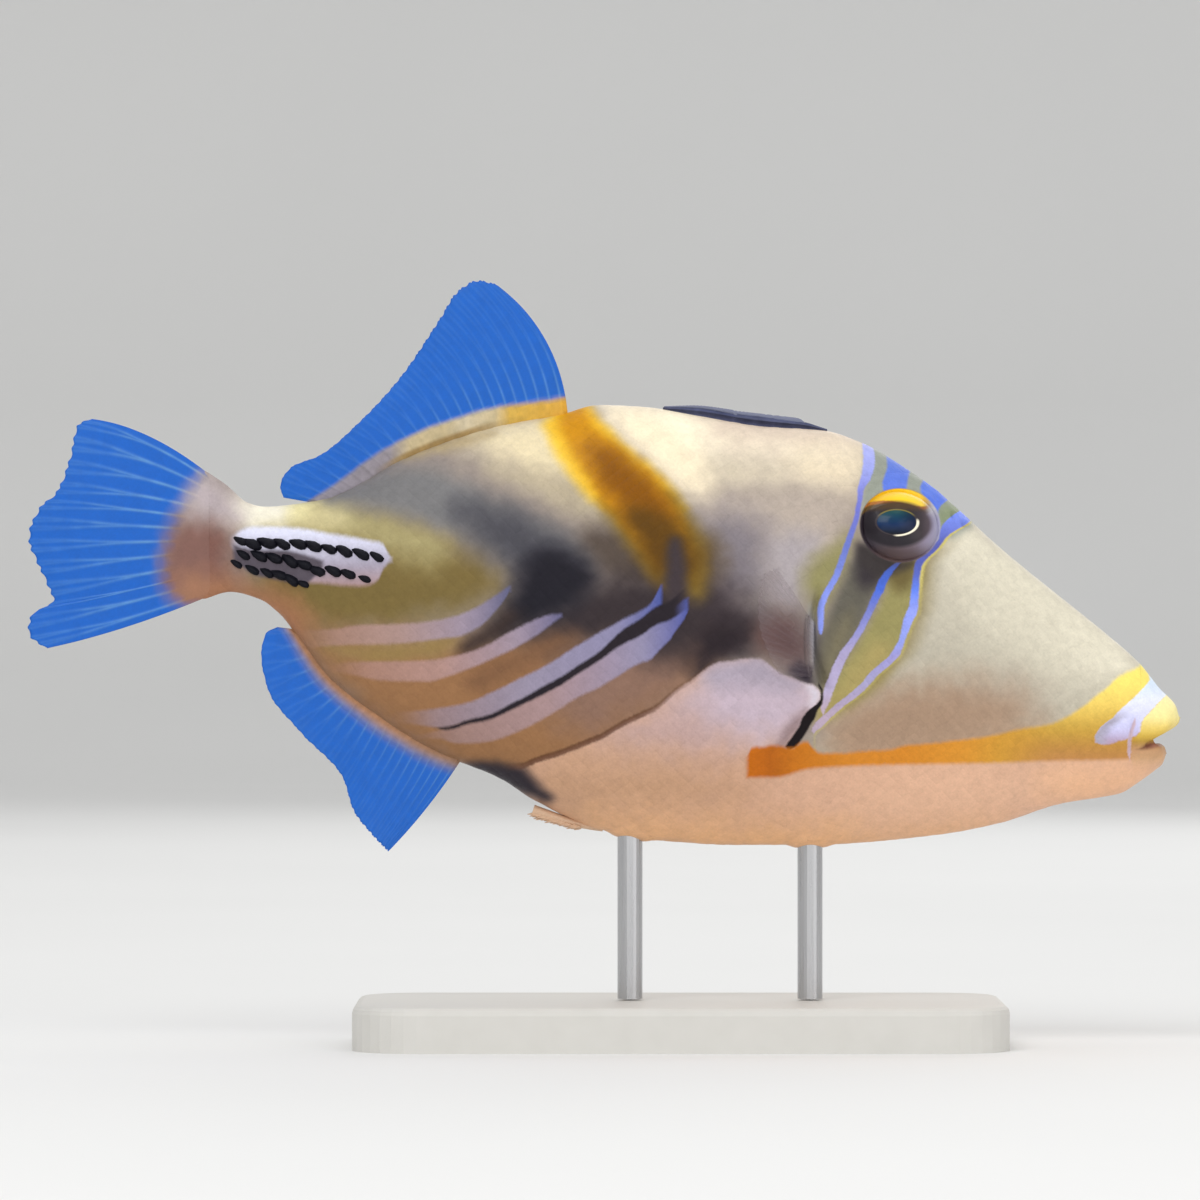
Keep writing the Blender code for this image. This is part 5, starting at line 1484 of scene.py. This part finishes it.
def build_median_fin(
    name, node, root_x, margin, bow, ray_count, belly, sheath_height, sheath_colours, crowding,
):
    """The second dorsal fin or the anal fin, with the low fleshy sheath along its base."""
    u, v = fin_grid(ray_count * 12 + 1, FIN_ROWS, 1.15)
    sign = -1 if belly else 1
    x0 = root_x[0] + (root_x[1] - root_x[0]) * u
    z0 = (belly_z(x0) if belly else back_z(x0)) - sign * FIN_SUNK
    edge_x, edge_z = path_through(margin)(u**crowding)
    rays = ray_lines(u, v, ray_count)
    scallop = scalloped(u, v, ray_count, 0.012, 0.16, 0.16)
    run = np.stack([edge_x - x0, 0 * u, edge_z - z0], axis=-1) * scallop[..., None]
    length = np.linalg.norm(run, axis=-1)
    lean = unit(np.stack([np.abs(run[..., 2]), 0 * u, sign * np.abs(run[..., 0])], axis=-1))
    swell = bow * (1 - u) ** 1.5 * 4 * v * (1 - v)
    centre = np.stack([x0, 0 * u, z0], axis=-1) + run * v[..., None] + lean * swell[..., None]
    centre[..., 1] += 0.55 * np.sin(11 * u + 2.4 * v) * v**2
    x, z = centre[..., 0], centre[..., 2]
    above = v * length - FIN_SUNK
    height = np.interp(u, np.linspace(0, 1, len(sheath_height)), sheath_height)
    ragged = 0.12 * wander(x, z, 1.6, 21)
    spread_out = 1.7 if belly else 0.6
    cover = smooth(height + spread_out, height - spread_out, above + ragged)
    sheath = np.sqrt(np.clip(1 - above / (height + 0.4), 0, 1)) * (1.2 - 0.45 * u)
    half = 0.09 + 0.14 * rays * (1 - 0.55 * v) + np.where(above < height + 0.4, sheath, 0)
    half = tapered(half, u, v, 0.02)
    flesh = blend(sheath_colours, x)
    rise = np.clip(above / height, 0, 1)[..., None]
    if belly:
        flesh = flesh * (1 - rise) + linear(ANAL_SHEATH_EDGE) * rise
    else:
        olive = smooth(*SHEATH_FOOT_START, x)[..., None]
        low = linear(SHEATH_FOOT) * olive + flesh * (1 - olive)
        foot = smooth(0.34, 0.1, rise) * smooth(*SHEATH_FOOT_END, x)[..., None]
        flesh = flesh * (1 - foot) + low * foot
    flesh = flesh * (1 + 0.12 * wander(x, z, 0.9, 22))[..., None]
    faint = (0.62 - 0.5 * smooth(0.1, 0.7, v)) * (0.75 + 0.25 * wander(x, z, 2.5, 23))
    fin_piece(name, node, centre, np.array([0, 1, 0]) + 0 * centre, half, rays, flesh, cover, faint)


# The tail fin's fleshy base: its root, half its thickness from its end to its root, and its outline
CAUDAL_ROOT_X = -93.2
TAIL_FLESH = curve_through(
    ((-114, 0), (-109, 0.05), (-105, 0.22), (-101, 0.6), (-98, 0.94), (-96.5, 1.1), (-95, 1.24),
     (-94, 1.43), (-93, 1.68), (-92, 1.95)),
)
TAIL_FLESH_OUTLINE = (
    (260, 460), (222, 462), (200, 474), (186, 498), (172, 524), (164, 548), (161, 572), (168, 594),
    (184, 606), (220, 612), (260, 612),
)


def build_caudal():
    """The tail fin, whose rays fork over a fleshy base that fades out along an arc."""
    u, v = fin_grid(CAUDAL_RAYS * 22 + 1, 60)
    top = float(back_z(CAUDAL_ROOT_X)) - 0.5
    bottom = float(belly_z(CAUDAL_ROOT_X)) + 0.5
    root_z = top + (bottom - top) * u
    edge_x, edge_z = path_through(CAUDAL_MARGIN)(u)
    rays = ray_lines(u, v, CAUDAL_RAYS, 0.42, 0.68)
    scallop = scalloped(u, v, CAUDAL_RAYS, 0.014, 0.2, 0.14)
    run = np.stack([edge_x - CAUDAL_ROOT_X, 0 * u, edge_z - root_z], axis=-1) * scallop[..., None]
    bow = (CAUDAL_BOW[0] * (1 - u) ** 2 + CAUDAL_BOW[1] * u * u) * 4 * v * (1 - v)
    centre = np.stack([CAUDAL_ROOT_X + 0 * u, 0 * u, root_z], axis=-1) + run * v[..., None]
    centre[..., 2] += bow
    centre[..., 1] += 0.7 * np.sin(7 * u + 1.5 * v + 0.6) * v**2
    x, z = centre[..., 0], centre[..., 2]
    depth = depth_inside(x, z, rounded(to_mm(TAIL_FLESH_OUTLINE)))
    ragged = 0.6 * (rays - 0.4) + 0.5 * wander(x, z, 1.2, 31)
    cover = smooth(-3.2, 2.0, depth + ragged)
    apart = np.where(u < WIDEST, (WIDEST - u) / WIDEST, (u - WIDEST) / (1 - WIDEST))
    power = np.where(u < WIDEST, UPPER_ROUNDNESS, LOWER_ROUNDNESS)
    fullness = np.clip(1 - apart**power, 0, 1) ** (1 / power)
    ray_half = (0.03 + 0.17 * rays * (1 - 0.55 * v)) * smooth(-97, -108, x)
    half = tapered(0.07 + ray_half + TAIL_FLESH(x) * fullness, u, v, 0.03)
    flesh = sampled(upper_image, x, z)
    faint = (0.95 - 0.7 * smooth(0.35, 0.9, v)) * (0.75 + 0.3 * wander(x, z, 2.0, 33))
    across = np.array([0, 1, 0]) + 0 * centre
    fin_piece("tail_fin", "fin_caudal", centre, across, half, rays, flesh, cover, faint)


def build_pectoral(side):
    """A small clear fan that stands out behind the gill opening."""
    length = curve_through(PECTORAL_LENGTHS)
    columns = PECTORAL_RAYS * 12 + 1
    rows = 34
    u, v = np.meshgrid(np.linspace(0, 1, columns), np.linspace(0, 1, rows), indexing="ij")
    out = np.array((-math.cos(PECTORAL_FLARE), math.sin(PECTORAL_FLARE), 0))
    normal = np.array((math.sin(PECTORAL_FLARE), math.cos(PECTORAL_FLARE), 0))
    x = PECTORAL_BASE[0][0] + (PECTORAL_BASE[1][0] - PECTORAL_BASE[0][0]) * u
    z = PECTORAL_BASE[0][1] + (PECTORAL_BASE[1][1] - PECTORAL_BASE[0][1]) * u
    rise = PECTORAL_RISE[0] + (PECTORAL_RISE[1] - PECTORAL_RISE[0]) * u
    place = (u * PECTORAL_RAYS) % 1.0 - 0.5
    scallop = 1 - 0.03 * (1 - bell(place, 0.22))
    reach = length(u) * v * scallop
    root = np.stack([x, side_y(x, z) - 0.7, z], axis=-1)
    centre = root + out * (reach * np.cos(rise))[..., None]
    centre = centre + normal * (-1.4 * v * v + 0.25 * np.sin(9 * u) * v * v)[..., None]
    centre[..., 2] += reach * np.sin(rise)
    rays = ray_lines(u, v, PECTORAL_RAYS, 0.5, 0.8)
    flesh_half = 0.6 * np.clip(1 - v / 0.22, 0, 1)
    half = (0.08 + flesh_half + 0.12 * rays * (1 - 0.5 * v)) * (1 - 0.4 * v**3)
    cover = smooth(0.2, 0.04, v)
    flesh = sampled(upper_image, centre[..., 0], centre[..., 2])
    across = np.zeros_like(centre) + normal
    mirror = np.array([1, side, 1])
    name = "left" if side > 0 else "right"
    return fin_piece(
        "pectoral_" + name, "fin_pectoral_" + name, centre * mirror, across * mirror, half, rays,
        flesh, cover, 0.8 - 0.3 * v,
    )


build_median_fin(
    "dorsal_fin", "fin_dorsal_second", DORSAL_ROOT, DORSAL_MARGIN, DORSAL_BOW, DORSAL_RAYS,
    False, (2.8, 3.4, 3.6, 3.2, 1.8), SHEATH, 1.1,
)
build_median_fin(
    "anal_fin", "fin_anal", ANAL_ROOT, ANAL_MARGIN, ANAL_BOW, ANAL_RAYS, True, (2.0, 2.2, 1.4),
    ANAL_SHEATH, 1.6,
)
build_caudal()
build_pectoral(1)
build_pectoral(-1)


# Scale plates: how far apart they are at each station, and how much of its cell a plate fills
PLATE_PITCH = curve_through(
    ((-98, 1.9), (-88, 2.2), (-72, 2.6), (-45, 3.1), (0, 3.3), (24, 3.0), (40, 2.3), (70, 2.0),
     (92, 1.5)),
)
PLATE_LAST = 91.0
PLATE_FILL = 0.94
ROW_SHARE = 0.9
# A plate's grid of points, the steepest relief that it may lie on, and its place on the bake
PLATE_POINTS = 6
PLATE_STEEPEST = 0.09
PLATE_UV = 0.004
PLATE_ZONES = (("tail", -200, -45), ("flank", -45, 27), ("head", 27, 200))

# The angle of a place on the skin, as a table over its station and its way down the side
arc_stations = np.linspace(TAIL_END, NOSE_END, 320)
arc_angles = np.linspace(0, math.pi, 241)
arc_grid = surface(arc_stations[:, None], arc_angles[None, :])
arc_steps = np.linalg.norm(np.diff(arc_grid, axis=1), axis=-1)
arc_run = np.concatenate([np.zeros((len(arc_stations), 1)), np.cumsum(arc_steps, axis=1)], axis=1)
arc_run = arc_run - arc_run[:, len(arc_angles) // 2][:, None]
ARC_STEP = 0.25
arc_places = np.arange(-62, 62, ARC_STEP)
angle_table = np.stack([np.interp(arc_places, run, arc_angles) for run in arc_run])


def angle_at(station, down):
    """The angle of a place this far down the side from its middle line, along the skin."""
    u = (station - TAIL_END) / (NOSE_END - TAIL_END) * (len(arc_stations) - 1)
    return looked_up(angle_table, u, (down - arc_places[0]) / ARC_STEP)


def plate_centres():
    """The middle of every plate on one side: its place along in pitches, and its row."""
    fine = np.linspace(TAIL_END + 3.2, PLATE_LAST, 3000)
    run = np.concatenate([[0], np.cumsum(np.diff(fine) / PLATE_PITCH(fine[1:]))])
    centres = []
    for row in range(-70, 71):
        along = np.arange(0, run[-1], 1.0) + (0.5 if row % 2 else 0.0)
        along = along[along < run[-1]]
        station = np.interp(along, run, fine)
        down = row * 0.5 * ROW_SHARE * PLATE_PITCH(station)
        top = np.interp(station, arc_stations, arc_run[:, 0])
        bottom = np.interp(station, arc_stations, arc_run[:, -1])
        margin = 0.28 * PLATE_PITCH(station)
        inside = (down > top + margin) & (down < bottom - margin)
        centres.append(np.stack([along[inside], np.full(inside.sum(), row)], axis=1))
    return np.concatenate(centres), run, fine


def bare_of_plates(x, y, z, station):
    """Where the skin stays bare: round the eye, at the gill opening, the nostrils and the back fin."""
    bare = orbit_reach(x, z) < 1.32
    gill, _ = line_distance(x, z, GILL_LINE)
    bare |= (gill < 2.0) & (station < SNOUT_START)
    base, _ = line_distance(x, z, PECTORAL_BASE)
    bare |= (base < 1.8) & (station < SNOUT_START)
    chin = smooth(62, 56, z) * smooth(70, 76, x)
    bare |= (chin > 0.5) & (x > 78)
    for nx, nz in NOSTRILS:
        bare |= np.hypot(x - nx, z - nz) < 1.5
    bare |= (z > back_z(x) - 1.2) & (np.abs(y) < 2.6) & (x > -5) & (x < 31)
    bare |= (z > back_z(x) - 1.0) & (np.abs(y) < 1.5) & (x > -73) & (x < -21)
    bare |= (z < belly_z(x) + 1.0) & (np.abs(y) < 1.5) & (x > -78) & (x < -42)
    for rod_x in ROD_X:
        bare |= (np.hypot(x - rod_x, y) < 4.2) & (z < 60)
    return bare


def build_plates():
    """Low rounded plates over the skin, in slanting rows, as closed lens shapes."""
    centres, run, fine = plate_centres()
    count = PLATE_POINTS
    line = np.linspace(-1, 1, count)
    s, t = np.meshgrid(line, line, indexing="ij")
    round_s = s * np.sqrt(1 - 0.3 * t * t)
    round_t = t * np.sqrt(1 - 0.3 * s * s)
    local_along = (round_s + round_t) / 2 * PLATE_FILL
    local_down = (round_s - round_t) / 2 * PLATE_FILL
    dome = np.sqrt(np.clip((1 - s**4) * (1 - t**4), 0, 1))
    station = np.interp(centres[:, 0], run, fine)
    down = centres[:, 1] * 0.5 * ROW_SHARE * PLATE_PITCH(station)
    middle = surface(station, angle_at(station, down))
    keep = ~bare_of_plates(middle[:, 0], middle[:, 1], middle[:, 2], station)
    centres, station, down = centres[keep], station[keep], down[keep]
    along = centres[:, 0][:, None, None] + local_along
    row = centres[:, 1][:, None, None] * 0.5 + local_down
    station_all = np.interp(along, run, fine)
    angle_all = angle_at(station_all, row * ROW_SHARE * PLATE_PITCH(station_all))
    bare = surface(station_all, angle_all)
    rise = relief(bare[..., 0], bare[..., 2], station_all)
    level = ~(np.ptp(rise, axis=(1, 2)) > PLATE_STEEPEST)
    station, down, station_all, angle_all = (
        values[level] for values in (station, down, station_all, angle_all)
    )
    size = PLATE_PITCH(station)[:, None, None] / 3.0
    height = (-0.09 + 0.145 * dome) * size
    cell = grid_quads(count, count)[:, ::-1]
    number = np.arange(count * count).reshape(count, count)
    border = np.concatenate([number[:, 0], number[-1, 1:], number[-2::-1, -1], number[0, -2:0:-1]])
    u_mid = (station - TAIL_END) / (NOSE_END - TAIL_END)
    v_mid = angle_at(station, down) / math.pi / 2
    patch = np.stack([local_along, local_down], axis=-1).reshape(-1, 2) * PLATE_UV
    for side, side_name in ((1, "left"), (-1, "right")):
        shift = np.random.default_rng(5 + side).uniform(-1, 1, len(station))
        points, normal = skin_points(station_all, angle_all, side)
        points = points + normal * height[..., None]
        middles = np.stack([u_mid, v_mid if side > 0 else 1 - v_mid], axis=-1)
        for zone, low, high in PLATE_ZONES:
            chosen = np.flatnonzero((station >= low) & (station < high))
            flat = points[chosen].reshape(-1, 3)
            base = np.arange(len(chosen))[:, None, None] * count * count
            faces = [(f[None] + base).reshape(-1, f.shape[1]) for f in (cell, border[None])]
            if side < 0:
                faces = [f[:, ::-1] for f in faces]
            uv = (middles[chosen][:, None] + patch[None] * np.array([1, side])).reshape(-1, 2)
            uv = uv[np.concatenate([f.ravel() for f in faces])]
            tone = {"tone": np.repeat(shift[chosen], count * count)}
            piece = add_piece(
                f"plates_{zone}_{side_name}", flat, faces, skin_look, uv, soft_colours(flat), tone,
                flat=len(faces[1]),
            )


build_plates()


thorn_paint = SidePaint("thorn_black")
thorn_paint.set("Base Color", thorn_paint.mix(thorn_paint.grain, (5, 6, 14), (18, 17, 28)))
thorn_paint.set("Roughness", 0.6)
thorn_paint.set("Specular IOR Level", 0.15)


THORN_SLANT = math.radians(-26)
THORN_ROWS = (
    ((241, 541), (253, 544), (268, 543), (283, 544), (299, 544), (314, 546), (330, 549),
     (345, 551), (362, 554), (378, 557)),
    ((244, 555), (260, 556), (275, 558), (291, 561), (305, 565), (318, 571), (334, 571),
     (349, 574), (366, 579)),
    ((237, 564), (253, 570), (268, 573), (280, 575), (292, 580), (304, 584)),
)


# A thorn's height, how far its tip leans, and half its length and width at its foot
THORN_HEIGHT = 1.5
THORN_LEAN = 0.75
THORN_LONG = 2.25
THORN_WIDE = 1.02


def build_thorns(side):
    """The rows of small black thorns on the tail stalk, each leaning towards the head."""
    around = 12
    levels = 8
    turn = np.linspace(0, 2 * math.pi, around, endpoint=False)
    points = []
    draw = np.random.default_rng(40 + side)
    for number, row in enumerate(THORN_ROWS):
        for i, (x, z) in enumerate(to_mm(row)):
            out = np.array(side_normal(x, z))
            slant = THORN_SLANT + draw.uniform(-0.16, 0.16)
            along = np.array((math.cos(slant), 0, math.sin(slant)))
            along = unit(along - out * np.dot(along, out))
            across = np.cross(out, along)
            end = 0.78 if i in (0, len(row) - 1) else 1.0
            size = draw.uniform(0.9, 1.08) * end * (1.0 - 0.06 * number)
            root = np.array((x, float(side_y(x, z)), z)) - out * 0.4 - along * 0.15
            for t in np.linspace(0, 1, levels):
                middle = root + out * (THORN_HEIGHT * size * t) + along * (THORN_LEAN * size * t**1.5)
                long = (THORN_LONG * (1 - t) ** 0.42 + 0.06) * size
                wide = (THORN_WIDE * (1 - t) ** 0.42 + 0.05) * size
                ragged = 1 + 0.12 * draw.uniform(-1, 1, around) * (1 - t)
                egg = 1 + 0.3 * np.cos(turn)
                ring = middle + (np.cos(turn) * long * ragged)[:, None] * along
                ring = ring + (np.sin(turn) * wide * ragged * egg)[:, None] * across
                points.append(ring)
    points = np.array(points).reshape(-1, levels * around, 3)
    base = np.arange(len(points))[:, None, None] * levels * around
    faces = [(f[None] + base).reshape(-1, f.shape[1]) for f in tube_faces(levels, around)]
    if side < 0:
        faces = [f[:, ::-1] for f in faces]
    name = "thorns_left" if side > 0 else "thorns_right"
    piece = add_piece(name, points * np.array([1, side, 1]), faces, thorn_paint.material)


build_thorns(1)
build_thorns(-1)


def tube(path, radii, around=12, flat=1.0):
    """A closed tube along points, with a radius at each. Flat below 1 makes it lower than wide."""
    path = np.asarray(path, float)
    forward = unit(np.gradient(path, axis=0))
    side = unit(np.cross(forward, np.array([0, 0, 1.0])))
    up = np.cross(side, forward)
    turn = np.linspace(0, 2 * math.pi, around, endpoint=False)
    rings = path[:, None] + np.asarray(radii)[:, None, None] * (
        np.cos(turn)[None, :, None] * side[:, None] + flat * np.sin(turn)[None, :, None] * up[:, None]
    )
    return rings.reshape(-1, 3), tube_faces(len(path), around)


def joined(parts):
    """Several (points, faces) as one, with the faces grouped by their number of corners."""
    points = []
    groups = {}
    start = 0
    for part_points, faces in parts:
        points.append(part_points)
        for f in faces:
            groups.setdefault(f.shape[1], []).append(f + start)
        start += len(part_points)
    return np.concatenate(points), [np.concatenate(g) for g in groups.values()]


folded_paint = SidePaint("folded_fin")
pleats = folded_paint.noise(folded_paint.place, 500.0)
folded_shade = folded_paint.mix(pleats, (46, 50, 76), (92, 98, 132))
folded_shade = folded_paint.mix(folded_paint.attribute("ray", "Fac"), folded_shade, (128, 132, 152))
folded_paint.set("Base Color", folded_shade)
folded_paint.set("Roughness", 0.5)
folded_paint.set("Specular IOR Level", 0.2)

# The folded spines: x of the root and of the tip, how far aside the root lies, and the radius
FOLDED_SPINES = ((26.4, -2.6, 0.0, 0.8), (19.0, -3.0, 0.8, 0.62), (12.0, -3.2, -0.8, 0.52))


def build_folded_dorsal():
    """The first dorsal fin laid back in its groove: three spines over a pleated membrane."""
    top = curve_through(FOLDED_TOP)
    start = FOLDED_TOP[0][0]
    end = FOLDED_TOP[-1][0]
    xs = np.linspace(start, end, 90)
    share = (xs - start) / (end - start)
    swell = np.sin(math.pi * np.clip(0.08 + share * 0.86, 0, 1)) ** 0.6
    half = FOLDED_HALF_WIDTH * (0.3 + 0.7 * swell)
    x, s = np.meshgrid(xs, np.linspace(-1, 1, 21), indexing="ij")
    y = s * half[:, None]
    body = back_z(x)
    ridge = np.maximum(0.1, top(x) - body - 0.5) * np.sqrt(np.clip(1 - (0.85 * s) ** 2, 0, 1))
    pleat = 0.16 * np.cos(s * 13 + 1.4 * np.sin(x * 0.25)) * (1 - s**4)
    upper = np.stack([x, y, body + ridge + pleat], axis=-1)
    lower = np.stack([x, y, body - 1.1], axis=-1)
    points = np.concatenate([upper.reshape(-1, 3), lower.reshape(-1, 3)])
    above, under, edge = sheet_faces(*x.shape)
    parts = [(points, [above, under, edge[:, TURNED]])]
    marks = [np.zeros(len(points))]
    for root_x, tip_x, y0, radius in FOLDED_SPINES:
        t = np.linspace(0, 1, 60)
        along = root_x + (tip_x - root_x) * t
        height = np.maximum(top(along), back_z(along) + 0.5) - radius * 0.75 + 0.12
        height = height - 1.4 * (1 - smooth(0, 0.1, t))
        path = np.stack([along, y0 * (1 - 0.6 * t), height], axis=-1)
        size = radius * (0.5 + 0.5 * smooth(0, 0.12, t)) * (1 - 0.75 * t**1.3)
        size = size * (1 + 0.09 * np.cos(along * 9) * smooth(0.1, 0.3, t))
        spine, faces = tube(path, size, 14)
        parts.append((spine, faces))
        marks.append(np.full(len(spine), 0.75))
    points, faces = joined(parts)
    numbers = {"ray": np.concatenate(marks)}
    piece = add_piece("folded_dorsal", points, faces, folded_paint.material, numbers=numbers)
    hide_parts("fin_dorsal_first")


build_folded_dorsal()


scute_paint = SidePaint("scute")
scute_shade = scute_paint.mix(scute_paint.grain, (196, 160, 128), (226, 190, 160))
scute_paint.set("Base Color", scute_shade)
scute_paint.set("Roughness", 0.5)

SPINULE_ROWS = 16


def build_scute():
    """The pelvic scute: a low bony keel under the belly, with short spinules towards its rear."""
    drop = curve_through(SCUTE_DROP)
    xs = np.linspace(SCUTE_X[0] + 0.6, SCUTE_X[1], 50)
    share = (SCUTE_X[0] - xs) / (SCUTE_X[0] - SCUTE_X[1])
    path = np.stack([xs, 0 * xs, belly_z(xs) - drop(xs) + 0.9], axis=-1)
    parts = [tube(path, 0.75 + 0.65 * share, 16, flat=0.8)]
    draw = np.random.default_rng(8)
    for k in range(SPINULE_ROWS):
        x = SCUTE_X[1] + 0.5 + 0.6 * k
        z = float(belly_z(x)) - float(drop(x)) + 0.25
        for y in (-0.8, 0.0, 0.8):
            t = np.linspace(0, 1, 8)[:, None]
            tip = np.array((-1.5, y * 0.7, -0.75 + 0.3 * abs(y))) * draw.uniform(0.8, 1.15)
            start = np.array((x + draw.uniform(-0.2, 0.2), y, z + 0.3 * abs(y)))
            thorn = start + tip * t + np.array((0, 0, 0.25)) * t * t
            parts.append(tube(thorn, 0.3 * (1 - t[:, 0]) ** 0.8 + 0.03, 7))
    points, faces = joined(parts)
    piece = add_piece("pelvic_scute", points, faces, scute_paint.material)
    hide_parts("fin_pelvic")


build_scute()


def dress_stand():
    """Matt pale material for the base and brushed metal for the rods."""
    plate = Paint("stand_matt")
    place = plate.add("ShaderNodeTexCoord", output="Object")
    fleck = plate.noise(place, 160.0, 3.0)
    plate.set("Base Color", plate.mix(fleck, (206, 204, 198), (216, 214, 209)))
    plate.set("Roughness", plate.rise(fleck, 0.2, 0.8, 0.5, 0.6))
    metal = Paint("stand_steel")
    place = metal.add("ShaderNodeTexCoord", output="Object")
    stretch = metal.add("ShaderNodeMapping", {"Vector": place, "Scale": (1400.0, 1400.0, 60.0)})
    brushed = metal.noise(stretch, 1.0, 2.0)
    metal.set("Base Color", metal.mix(brushed, (176, 176, 178), (198, 198, 200)))
    metal.set("Metallic", 1.0)
    metal.set("Roughness", metal.rise(brushed, 0.2, 0.8, 0.24, 0.36))
    for name in ("stand_base", "stand_rod_front", "stand_rod_rear"):
        look = plate.material if name == "stand_base" else metal.material
        node = frame["nodes"][name]
        if not node.material_slots:
            node.data.materials.append(look)
        for slot in node.material_slots:
            slot.material = look


dress_stand()


# The studio, in metres: the bowl's profile, the camera and the lights as (name, place, size, power)
BOWL = ((0.0, 0.0), (2.3, 0.0), (2.65, 0.05), (2.95, 0.2), (3.1, 0.45), (3.15, 0.8), (3.15, 1.1))
CAMERA_AT = (-0.016, -1.6, 0.089)
CAMERA_LENS = 240.0
LIT_AT = (-0.016, 0, 0.089)
BOWL_TURNS = 96
LIGHTS = (
    ("key", (-0.5, -1.1, 1.3), 0.9, 8.8),
    ("fill", (1.1, -1.2, 0.5), 1.2, 5.2),
    ("low", (-0.1, -1.3, 0.06), 1.2, 3.2),
    ("top", (0.1, 0.3, 1.5), 1.2, 4.0),
    ("behind", (0.4, 1.4, 0.8), 1.0, 3.4),
)
WORLD_STRENGTH = 0.62


def build_studio():
    """A wide pale bowl round the stand, soft lights, an even sky and the camera of the photo's view."""
    turns = BOWL_TURNS
    turn = np.linspace(0, 2 * math.pi, turns, endpoint=False)
    points = [(0.0, 0.0, 0.0)]
    for reach, height in BOWL[1:]:
        points += [(reach * math.cos(t), reach * math.sin(t), height) for t in turn]
    faces = []
    for k in range(turns):
        after = (k + 1) % turns
        faces.append((0, 1 + k, 1 + after))
        for ring in range(len(BOWL) - 2):
            a = 1 + ring * turns
            b = a + turns
            faces.append((a + k, b + k, b + after, a + after))
    mesh = bpy.data.meshes.new("studio_bowl")
    mesh.from_pydata(points, [], faces)
    mesh.shade_smooth()
    paint = Paint("studio_pale")
    place = paint.add("ShaderNodeTexCoord", output="Object")
    shade = paint.mix(paint.noise(place, 3.0), (232, 232, 231), (238, 238, 237))
    paint.set("Base Color", shade)
    paint.set("Roughness", 0.85)
    mesh.materials.append(paint.material)
    bowl = bpy.data.objects.new("studio_bowl", mesh)
    bpy.context.scene.collection.objects.link(bowl)
    bowl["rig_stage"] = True
    for name, at, size, power in LIGHTS:
        data = bpy.data.lights.new("light_" + name, "AREA")
        data.size = size
        data.energy = power
        light = bpy.data.objects.new("light_" + name, data)
        light.location = at
        light.rotation_euler = (Vector(LIT_AT) - Vector(at)).to_track_quat("-Z", "Y").to_euler()
        bpy.context.scene.collection.objects.link(light)
        light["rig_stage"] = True
    world = bpy.data.worlds.new("studio_world")
    world.use_nodes = True
    sky = world.node_tree.nodes["Background"]
    sky.inputs["Color"].default_value = (1.0, 1.0, 1.0, 1.0)
    sky.inputs["Strength"].default_value = WORLD_STRENGTH
    scene = bpy.context.scene
    scene.world = world
    scene.view_settings.view_transform = "Standard"
    data = bpy.data.cameras.new("camera")
    data.sensor_width = 36.0
    data.lens = CAMERA_LENS
    data.clip_start = 0.05
    data.clip_end = 20.0
    camera = bpy.data.objects.new("camera", data)
    camera.location = CAMERA_AT
    camera.rotation_euler = (math.pi / 2, 0, 0)
    scene.collection.objects.link(camera)
    scene.camera = camera


build_studio()


def visual_box():
    bpy.context.view_layer.update()
    low = np.full(3, 1e9)
    high = np.full(3, -1e9)
    for thing in bpy.context.scene.objects:
        if thing.type != "MESH" or thing.hide_render or thing.get("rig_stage"):
            continue
        count = len(thing.data.vertices)
        points = np.empty(count * 3, np.float32)
        thing.data.vertices.foreach_get("co", points)
        world = np.array(thing.matrix_world)
        points = points.reshape(-1, 3) @ world[:3, :3].T + world[:3, 3]
        low = np.minimum(low, points.min(axis=0))
        high = np.maximum(high, points.max(axis=0))
    return [low.tolist(), high.tolist()]


sizes = {"cad": [list(cad_low), list(cad_high)], "visual": visual_box()}
